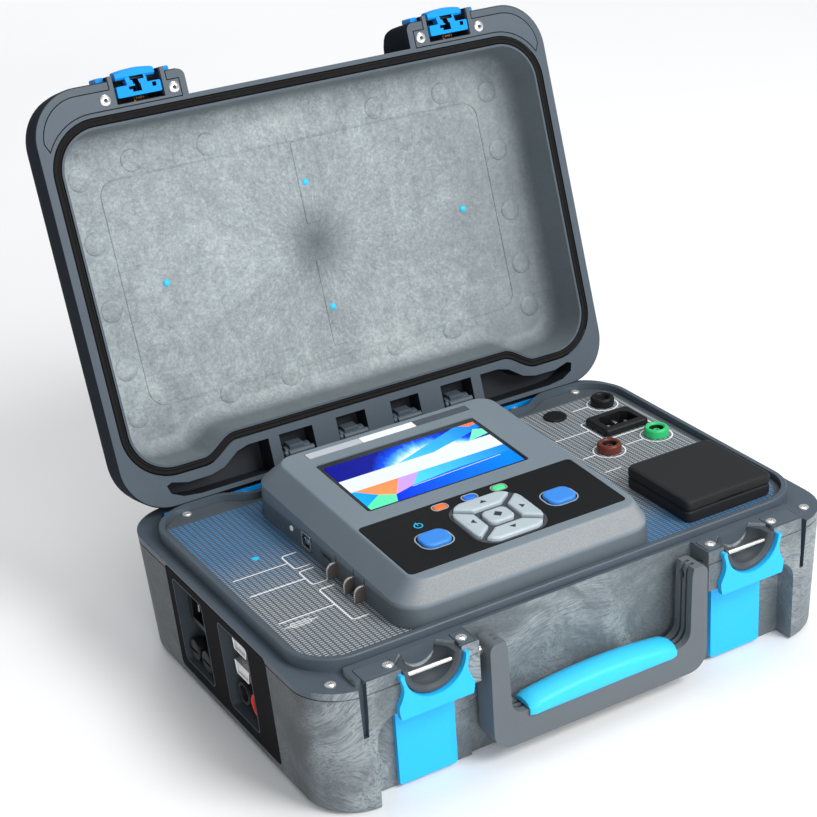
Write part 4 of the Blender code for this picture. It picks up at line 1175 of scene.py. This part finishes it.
def build_side():
    """Plate with two recesses that hold an inlet, two fuse caps, two serial connectors and two sockets."""
    face = wall_x(62) + 9.6
    build_side_lining()
    build_side_inlet(face)
    for name, y in SIDE_FUSES.items():
        build_fuse_cap(name, y, face)
    for name, z in SERIAL_Z.items():
        build_serial(name, z, face)
    for name, y in SIDE_SOCKETS.items():
        spot = (face - 0.2, y, SIDE_SOCKET_Z)
        socket(f"side_terminal_{name}", spot, name, f"side_socket_{name}", LEFTWARDS)


def build_side_lining():
    """Floors and raised lips of the plate's two recesses."""
    plate = place_node("side_connector_plate", "matte lining")
    paint(plate, lambda c, n: c.x > wall_x(c.z) + 0.8 and abs(n.x) < 0.7)
    floors = []
    for y0, y1 in ((13.9, 48.1), (-36.6, -4.9)):
        floors.append(side_slab("floor", rounded(y0, y1, 13.9, 62.6, 2.6, 5), -9.72, 9.9))
        rim = rounded(y0 - 0.6, y1 + 0.6, 13.3, 63.2, 3.2, 5)
        floors.append(cut(side_slab("lip", rim, 0.32, -0.22), side_slab("core", offset(rim, -0.75), 4, 4)))
    holes = [rounded(17, 45, 37.5, 59.5, 2)]
    holes += [circle(y, SIDE_FUSE_Z, 5.2) for y in SIDE_FUSES.values()]
    holes += [circle(y, SIDE_SOCKET_Z, 5.6) for y in SIDE_SOCKETS.values()]
    holes += [rounded(-29.2, -11.8, z - 4.4, z + 4.4, 0.5, 2) for z in SERIAL_Z.values()]
    liner = merged("side_recess_lining", floors)
    cut(liner, *[prism("hole", hole, -150, -130, "X") for hole in holes])
    place(liner, "lining", width=0.15)


def build_side_inlet(face):
    inlet = prism("side_inlet_body", rounded(17.3, 44.7, 37.8, 59.2, 2), face - 4, face + 14, "X")
    mouth = [(20.5, 41.0), (41.5, 41.0), (41.5, 52.5), (38.0, 56.0), (24.0, 56.0), (20.5, 52.5)]
    cut(inlet, prism("mouth", mouth, face - 6, face + 11, "X"))
    place(inlet, "black", "side_mains_inlet", 0.4)
    pins = [prism("pin", pill(y, z, 0.9, 2.1, 0.5, 3), face - 2.2, face + 11.5, "X")
            for y, z in ((24.5, 47), (31, 50.5), (37.5, 47))]
    place(merged("side_inlet_pins", pins), "steel", width=0.2)


def build_fuse_cap(name, y, face):
    """Quarter-turn cap with a driver slot and a fluted edge."""
    z = SIDE_FUSE_Z
    profile = [(0, -11), (4.6, -11), (4.6, 0.4), (6.4, 0.4), (6.4, 4.6), (6.0, 5.5), (5.2, 5.9), (0, 6.0)]
    cap = turned(f"fuse_carrier_{name}", profile, (face, y, z), 48, LEFTWARDS)
    cut(cap, box("slot", face - 8, face - 4.4, y - 4.6, y + 4.6, z - 0.7, z + 0.7))
    flutes = [circle(*spot, 0.42, 8) for spot in circle(y, z, 6.6, 20)]
    cut(cap, *[prism("flute", flute, face - 8, face - 1.6, "X") for flute in flutes])
    place(cap, "black", f"fuse_cap_{name}", 0.2, f"{name}_fuse_cap")


def build_serial(name, z, face):
    """Nuts and pin insert of a serial connector."""
    place_node(f"serial_connector_{name}", "bright", 0.25)
    nuts = [prism("nut", circle(y, z, 1.9, 6), face - 3.2, face - 1.1, "X") for y in (-31.3, -9.7)]
    insert = [(-27.4, z + 2.8), (-26.2, z - 2.8), (-14.8, z - 2.8), (-13.6, z + 2.8)]
    core = prism(f"serial_insert_{name}", insert, face - 5.4, face - 2.2, "X")
    dots = [(-24.6 + 2.05 * i, z + 1.1) for i in range(5)] + [(-23.6 + 2.05 * i, z - 1.1) for i in range(4)]
    cut(core, *[prism("dot", circle(*dot, 0.42, 8), face - 7, face - 4.2, "X") for dot in dots])
    place(merged(f"serial_jack_nuts_{name}", nuts), "steel", width=0.2)
    place(core, "print", width=0.08)


def place_ports():
    """Port, fuse blades and the hidden pieces."""
    place_node("usb_port", "steel", 0.15)
    blade = [(-91.6, 73.0), (-91.6, 81.0), (-95.2, 81.0), (-97.0, 80.3), (-98.2, 78.8), (-98.6, 76.8)]
    blade.append((-98.6, 73.0))
    for number, y in enumerate(FUSE_TABS, 1):
        tab = prism(f"fuse_blade_{number}", blade, y - 0.75, y + 0.75, "Y")
        place(tab, "tab bright", f"fuse_tab_{number}", 0.2)
        paint(tab, lambda c, n: abs(n.y) < 0.5)
    place_node("display_module", "steel")
    place_node("main_board", "board")
    place_node("mains_transformer", "coil")
    place_node("hinge_pin", "steel")
    place_node("test_socket_outlet", "black")


# ---------------------------------------------------------------- lid


def lid_trim_outline(side):
    """Band round the latch pocket that runs along the corner between the lid's edge and its gasket."""
    cx = LATCH_X
    outline = [(cx - 15.6, FRONT - 2.2), (cx - 15.6, FRONT + 5.2), (70.9, FRONT + 5.2), (70.9, -93.9)]
    outline += circle(121.5, -64.5, 29.4, 10, 270, 60)
    outline += circle(127.5, -81.9, 21.4, 12, -4, -86)
    outline += [(cx + 15.6, FRONT + 4.6), (cx + 15.6, FRONT - 2.2), (cx + 13.2, FRONT - 2.2)]
    outline += [(cx + 13.2, -95.3), (cx - 13.2, -95.3), (cx - 13.2, FRONT - 2.2)]
    return mirrored(outline[::-1], side)


def lid_slot(c, n):
    """Dark outside as painted shade, light inside as painted light, smooth flange and near-black painted
    shade in the pockets.
    """
    ring = max(abs(c.x) / 146, abs(c.y) / 96.5)
    if ring < 0.99 and (Vector((0, 0, 90)) - c).dot(n) > 0:
        return 1
    if n.z < -0.9 and c.z < 76.2:
        return 2
    # The seal groove, hinge pockets and latch pockets take near-black painted shade.
    seal_groove = c.y < -60 and 76.2 < c.z < 79
    hinge_pocket = 91 < c.y < LID_REAR - 1.5 and abs(c.x) < 132 and 76.2 < c.z < 93
    latch_pocket = FRONT + 3 < c.y < -94 and c.z < 99.5 and 79 < abs(c.x) < 125
    return 3 if seal_groove or hinge_pocket or latch_pocket else 0


def lid_body():
    """Domed shell, hollow inside, with the seal's groove, the handle's bay and a crease on its top."""
    walls = [(LID_PLANE, 0.5), (LID_PLANE + 0.6, 0), (90, 0.5), (96, 1.0), (99.5, 1.9), (102.5, 3.4)]
    walls += [(105.2, 6.0), (107.3, 9.8), (LID_TOP - 0.1, 14.5), (LID_TOP, 17)]
    rows = []
    for z, inset in walls:
        reach, radius = HALF_WIDTH - inset, CORNER - inset * 0.4
        rows.append((rounded(-reach, reach, FRONT + inset, LID_REAR - inset, radius, 14), z))
    shell = stack("lid_moulding", rows)
    inside = [(70, -2.6), (80, -3.0), (88, -4.0), (96, -5.0), (99, -5.8), (101.4, -7.2), (103.2, -9.4)]
    inside += [(104.4, -11.8), (LID_FLOOR, -14.6)]
    hollow = stack("hollow", [(rim_path(grow), z) for z, grow in inside])
    groove = prism("groove", rim_path(3.0), 70, LID_PLANE + 3.2)
    cut(groove, prism("core", rim_path(-1.6), 60, 90))
    edge = HANDLE_BAY - 0.5
    flank = [(edge, FRONT_WALL - 1)] + circle(edge + 4, FRONT + 4.3, 4, 6, 180, 90) + [(edge + 4, FRONT - 5)]
    bay = prism("bay", doubled(flank), 60, 120)
    cheeks = (-107.6, -78.8, 78.8, 107.6)
    fuse(shell, *[box("cheek", x - 1.3, x + 1.3, -110.0, -100, LID_PLANE + 0.1, 90) for x in cheeks])
    crease = prism("crease", rounded(-122, 122, -80, 86, 16), LID_TOP - 0.7, LID_TOP + 1)
    cut(crease, prism("core", rounded(-119.5, 119.5, -77.5, 83.5, 14), LID_TOP - 2, LID_TOP + 2))
    return cut(shell, hollow, groove, bay, crease)


def lid_openings():
    """Windows over the hinge arms, rear pockets, latch pockets and the seats of their trim."""
    windows = []
    for x in KNUCKLES:
        half = 10.2 if abs(x) > 30 else 9.2
        windows.append(box("window", x - half, x + half, 92.2, 120, 70, 88.5))
    pocket = [(68, 92.4), (80, 92.4), (87, 94.2), (96, 100.4), (104, 102.4), (118, 102.6), (127, 100.2)]
    pocket += [(130, 101.4), (128.5, 106.0), (122, 109.2), (112, 110.4), (68, 110.4)]
    for side in (-1, 1):
        cx = side * LATCH_X
        windows.append(prism("side_pocket", mirrored(pocket, side), 70, 92))
        windows.append(box("latch_way", cx - 12.9, cx + 12.9, -112, -95.6, 70, 99))
        windows.append(prism("trim_seat", offset(lid_trim_outline(side), 0.45), 70, LID_PLANE + 2.3))
    return windows


def build_lid():
    shell = cut(lid_body(), *lid_openings())
    cut(shell, rod("pin_way", HINGE, 2.08, -66.5, 66.5))
    place(shell, "lid_out lid_in flange pocket", "lid_shell", 0.4, "lid")
    paint(shell, lid_slot)
    build_gasket()
    build_lid_floor()
    for name, side in SIDES:
        trim = prism(f"lid_latch_bezel_{name}", lid_trim_outline(side), LID_PLANE - 0.2, LID_PLANE + 2.0)
        place(trim, "trim", f"lid_trim_{name}", 0.2, "lid")
        build_lid_latch(name, side * LATCH_X)
    spots = [(s * x, -98.7, LID_PLANE - 0.2) for s in (-1, 1) for x in (112.5, 74.4)]
    place_screws("lid_screws", spots, 2.9, 1.0, "lid", UPSIDE_DOWN)


def build_gasket():
    """Rubber cord with two sealing lips, pressed into the groove of the lid."""
    section = [(2.6, 79.0), (2.6, 76.7), (2.2, 76.1), (1.7, 76.0), (1.3, 76.5), (0.9, 76.9), (0.5, 76.9)]
    section += [(0.1, 76.5), (-0.3, 76.0), (-0.8, 76.1), (-1.2, 76.7), (-1.2, 79.0)]
    body = stack("lid_seal", [(rim_path(grow), z) for grow, z in section], looped=True)
    place(body, "rubber", "lid_gasket", 0.0, "lid", angle=60)


def build_lid_floor():
    """Raised outline, ejector marks, ribs and four blue studs on the inside of the lid's floor."""
    bead = ((0.55, 0.3), (0.275, -0.45), (-0.275, -0.45), (-0.55, 0.3))
    border = rounded(-117, 117, -58.5, 63.5, 9)
    rows = [(offset(border, grow), LID_FLOOR + lift) for grow, lift in bead]
    place(stack("lid_floor_outline", rows, looped=True), "lid_in", None, None, "lid")

    def domes(name, profile, spots, steps, look, width):
        parts = [turned("dome", profile, (*spot, LID_FLOOR), steps, UPSIDE_DOWN) for spot in spots]
        place(merged(name, parts), look, None, width, "lid")

    spots = [(x, y) for x in (-126.5, 126.5) for y in (-62, -28, 8, 40, 66)]
    spots += [(x, -66.5) for x in (-96, -52, 52, 96)] + [(x, 67.5) for x in (-72, -34, 34, 72)]
    mark = [(0, -0.4), (6.2, -0.4), (6.2, 0.1), (5.6, 0.55), (4.2, 0.9), (0, 1.05)]
    domes("lid_ejector_marks", mark, spots, 32, "lid_in", None)
    ribs = []
    for y0, y1 in ((8, 58), (-58, -12)):
        outline = [(-4.2, y0), (4.2, y0), (4.6, y1), (-4.6, y1)]
        ribs.append(stack("rib", ((outline, LID_FLOOR + 0.3), (offset(outline, -0.4), LID_FLOOR - 0.4))))
    place(merged("lid_gate_ribs", ribs), "lid_in", None, 0.1, "lid")
    stud = [(0, -0.5), (1.9, -0.5), (1.9, 0.4), (1.5, 0.9), (0.8, 1.15), (0, 1.2)]
    domes("lid_blue_studs", stud, ((0, -35.0), (-93, 0.5), (95, 0.5), (0, 36.0)), 24, "cyan", 0.0)


def latch_lever(name, cx):
    """Arched thumb bar, neck and hook plate with a Z-shaped slot, side tabs and trunnions."""
    bar = []
    for i in range(13):
        x = -10.8 + 21.6 * i / 12
        rise = 1.7 * (1 - (x / 10.8) ** 2)
        profile = [(-110.2 - rise, 77.6), (-111.1 - rise * 0.8, 79.0), (-111.6 - rise * 0.5, 81.5)]
        profile += [(-111.2, 84.0), (-109.3, 85.6), (-109.0, 95.0), (-107.3, 95.3), (-107.3, 78.4)]
        profile.append((-108.3, 77.5))
        bar.append((profile, cx + x))
    lever = stack(f"latch_lever_{name}", bar, "X")
    y, z = LATCH_PIVOT
    neck = [(-108.8, 78.0), (-103.2, 76.3), (-102.0, 76.3), (-102.0, 80.4), (-108.8, 84.0)]
    parts = [
        box("arm", cx - 7.4, cx + 7.4, -109.0, y + 2.0, 88.5, 93.0),
        prism("neck", neck, cx - 5.6, cx + 5.6, "X"),
        prism("hook", rounded(cx - 12.1, cx + 12.1, -104.0, -98.3, 0.8, 3), 75.3, 80.4),
        box("stem", cx - 8.0, cx + 8.0, y - 2.2, y + 2.0, z - 7, z - 1),
        rod("trunnion", LATCH_PIVOT, 1.6, cx - 18.0, cx + 18.0, 20),
    ]
    for x in (cx - 18.05, cx + 18.05):
        parts.append(prism("tab", rounded(x - 2.15, x + 2.15, -110.3, -107.2, 0.9, 3), 81.0, 91.0))
    for x in (cx - 17.9, cx + 17.9):
        parts.append(box("link", x - 1.3, x + 1.3, -108.5, -101.8, 84.0, 92.4))
    fuse(lever, *parts)
    zed = [(-3.2, -108.2), (4.4, -108.2), (4.4, -106.2), (1.0, -106.2), (1.4, -100.2), (-3.6, -100.2)]
    zed += [(-3.6, -101.6), (-5.4, -101.6), (-5.4, -103.2), (-1.9, -103.2), (-2.2, -106.2), (-3.2, -106.2)]
    slot = prism("zed", [(cx + a, b) for a, b in zed], 74, 87)
    return cut(lever, slot, prism("eye", rounded(cx + 7.4, cx + 9.6, -103.4, -101.2, 0.3, 2), 74, 87))


def build_lid_latch(name, cx):
    """Lever with a dark plate of painted shade behind its thumb bar, and the spring beside it."""
    body = f"{name}_lid_latch"
    lever = latch_lever(name, cx)
    place(lever, "latch pocket", f"lid_latch_{name}", 0.35, body)

    def lever_slot(c, n):
        """Painted shade: dark walls in the slot and the eye, and dark faces behind the thumb bar."""
        x = c.x - cx
        opening = abs(n.z) < 0.3 and (-5.5 < x < 5 or 7 < x < 9.9)
        return opening and 75.4 < c.z < 87 and -108.3 < c.y < -100.1 or (c.y > -107.2 and c.z > 81)

    # Painted shade goes on the slot's walls and the faces behind the thumb bar.
    paint(lever, lever_slot)
    # Painted shade: a near-black plate behind the thumb bar stands in for the shade there.
    shade_plate = box(f"latch_shade_plate_{name}", cx - 10.4, cx + 10.4, -107.4, -106.8, 79.5, 95.0)
    place(shade_plate, "pocket", None, None, body)
    build_latch_spring(name, cx)


def build_latch_spring(name, cx):
    """Four turns of copper-coloured wire."""
    coils = []
    for i in range(61):
        a = math.pi * 8 * i / 60
        x = cx - 2.4 + 4.8 * i / 60
        wire = [(x + v, 1.15 + u) for u, v in circle(0, 0, 0.32, 6)]
        coils.append([(v, -97.0 + r * math.cos(a), 79.2 + r * math.sin(a)) for v, r in wire])
    place(loft(f"latch_spring_{name}", coils), "copper", None, 0.0, "lid")


def build_hinge():
    """Knuckles over the base's hinge arms, each a long front lip with a block, and the blue rear seal."""
    y, z = HINGE
    for number, x in enumerate(KNUCKLES, 1):
        parts = [rod("lip", (y - 3.6, z + 1.4), 1.9, x - 6.2, x + 9.0, 24),
                 box("block", x - 5.2, x + 3.6, y - 3.4, y + 3.6, z + 2.0, z + 5.6),
                 rod("stub", (y - 3.0, z + 1.6), 1.6, x - 8.6, x - 6.6, 24)]
        place(merged(f"hinge_sleeve_{number}", parts), "trim", width=0.3)
    for name, side in SIDES:
        place(box(f"rear_seal_{name}", *span(side, 72, 134), 99.0, 100.0, 68.5, 71.4), "latch", width=0.2)


# ---------------------------------------------------------------- stage


def build_floor():
    work = bmesh.new()
    bmesh.ops.create_grid(work, x_segments=8, y_segments=8, size=6.0)
    floor = mesh_object("studio_floor", work)
    floor.location.z = -0.0005
    g = Graph("floor_paint")
    paper = g.mix(g.noise(3.0, 2.0), (0.86, 0.865, 0.87), (0.9, 0.905, 0.91))
    floor.data.materials.append(g.finish(paper, 0.9))


def build_lights():
    """Dim pale surroundings, three soft lights on the tester and one on the far floor."""
    world = bpy.data.worlds.new("studio")
    world.use_nodes = True
    background = world.node_tree.nodes["Background"]
    background.inputs[0].default_value = (0.93, 0.96, 1.0, 1)
    background.inputs[1].default_value = 0.32
    bpy.context.scene.world = world
    tester = (0.0, 0.0, 0.1)
    lights = (
        ("key", (0.75, -1.5, 1.55), tester, 1.0, 40.0, (1.0, 0.99, 0.97)),
        ("front_fill", (-0.5, -1.9, 0.9), tester, 0.9, 16.0, (0.97, 0.98, 1.0)),
        ("top", (0.5, 0.3, 2.0), tester, 1.2, 11.0, (1.0, 1.0, 1.0)),
        ("backdrop", (1.5, 5.0, 2.6), (1.5, 5.0, 0.0), 4.0, 240.0, (1.0, 1.0, 1.0)),
    )
    for name, spot, target, size, power, tint in lights:
        data = bpy.data.lights.new(name, "AREA")
        data.size = size
        data.energy = power
        data.color = tint
        light = bpy.data.objects.new(name, data)
        light.location = spot
        light.visible_glossy = name != "backdrop"
        light.rotation_euler = (Vector(target) - Vector(spot)).to_track_quat("-Z", "Y").to_euler()
        bpy.context.scene.collection.objects.link(light)


def build_camera():
    data = bpy.data.cameras.new("camera")
    data.sensor_width = 36.0
    data.lens = CAMERA_FOCAL
    data.shift_x, data.shift_y = -CAMERA_SHIFT, CAMERA_SHIFT
    data.clip_start, data.clip_end = 0.05, 20.0
    camera = bpy.data.objects.new("camera", data)
    azimuth, elevation, roll = (math.radians(a) for a in CAMERA_ANGLES)
    level = math.cos(elevation)
    forward = Vector((-math.sin(azimuth) * level, math.cos(azimuth) * level, -math.sin(elevation)))
    turn = forward.to_track_quat("-Z", "Y").to_matrix() @ Matrix.Rotation(roll, 3, "Z")
    camera.matrix_world = Matrix.Translation(Vector(CAMERA_AT) * MM) @ turn.to_4x4()
    bpy.context.scene.collection.objects.link(camera)
    bpy.context.scene.camera = camera
    bpy.context.scene.view_settings.view_transform = "Standard"


build_floor()
build_lights()
build_camera()
build_base()
build_feet()
build_screws()
build_panel()
build_console()
build_base_latches()
build_handle()
build_grip()
build_side()
place_ports()
build_lid()
build_hinge()
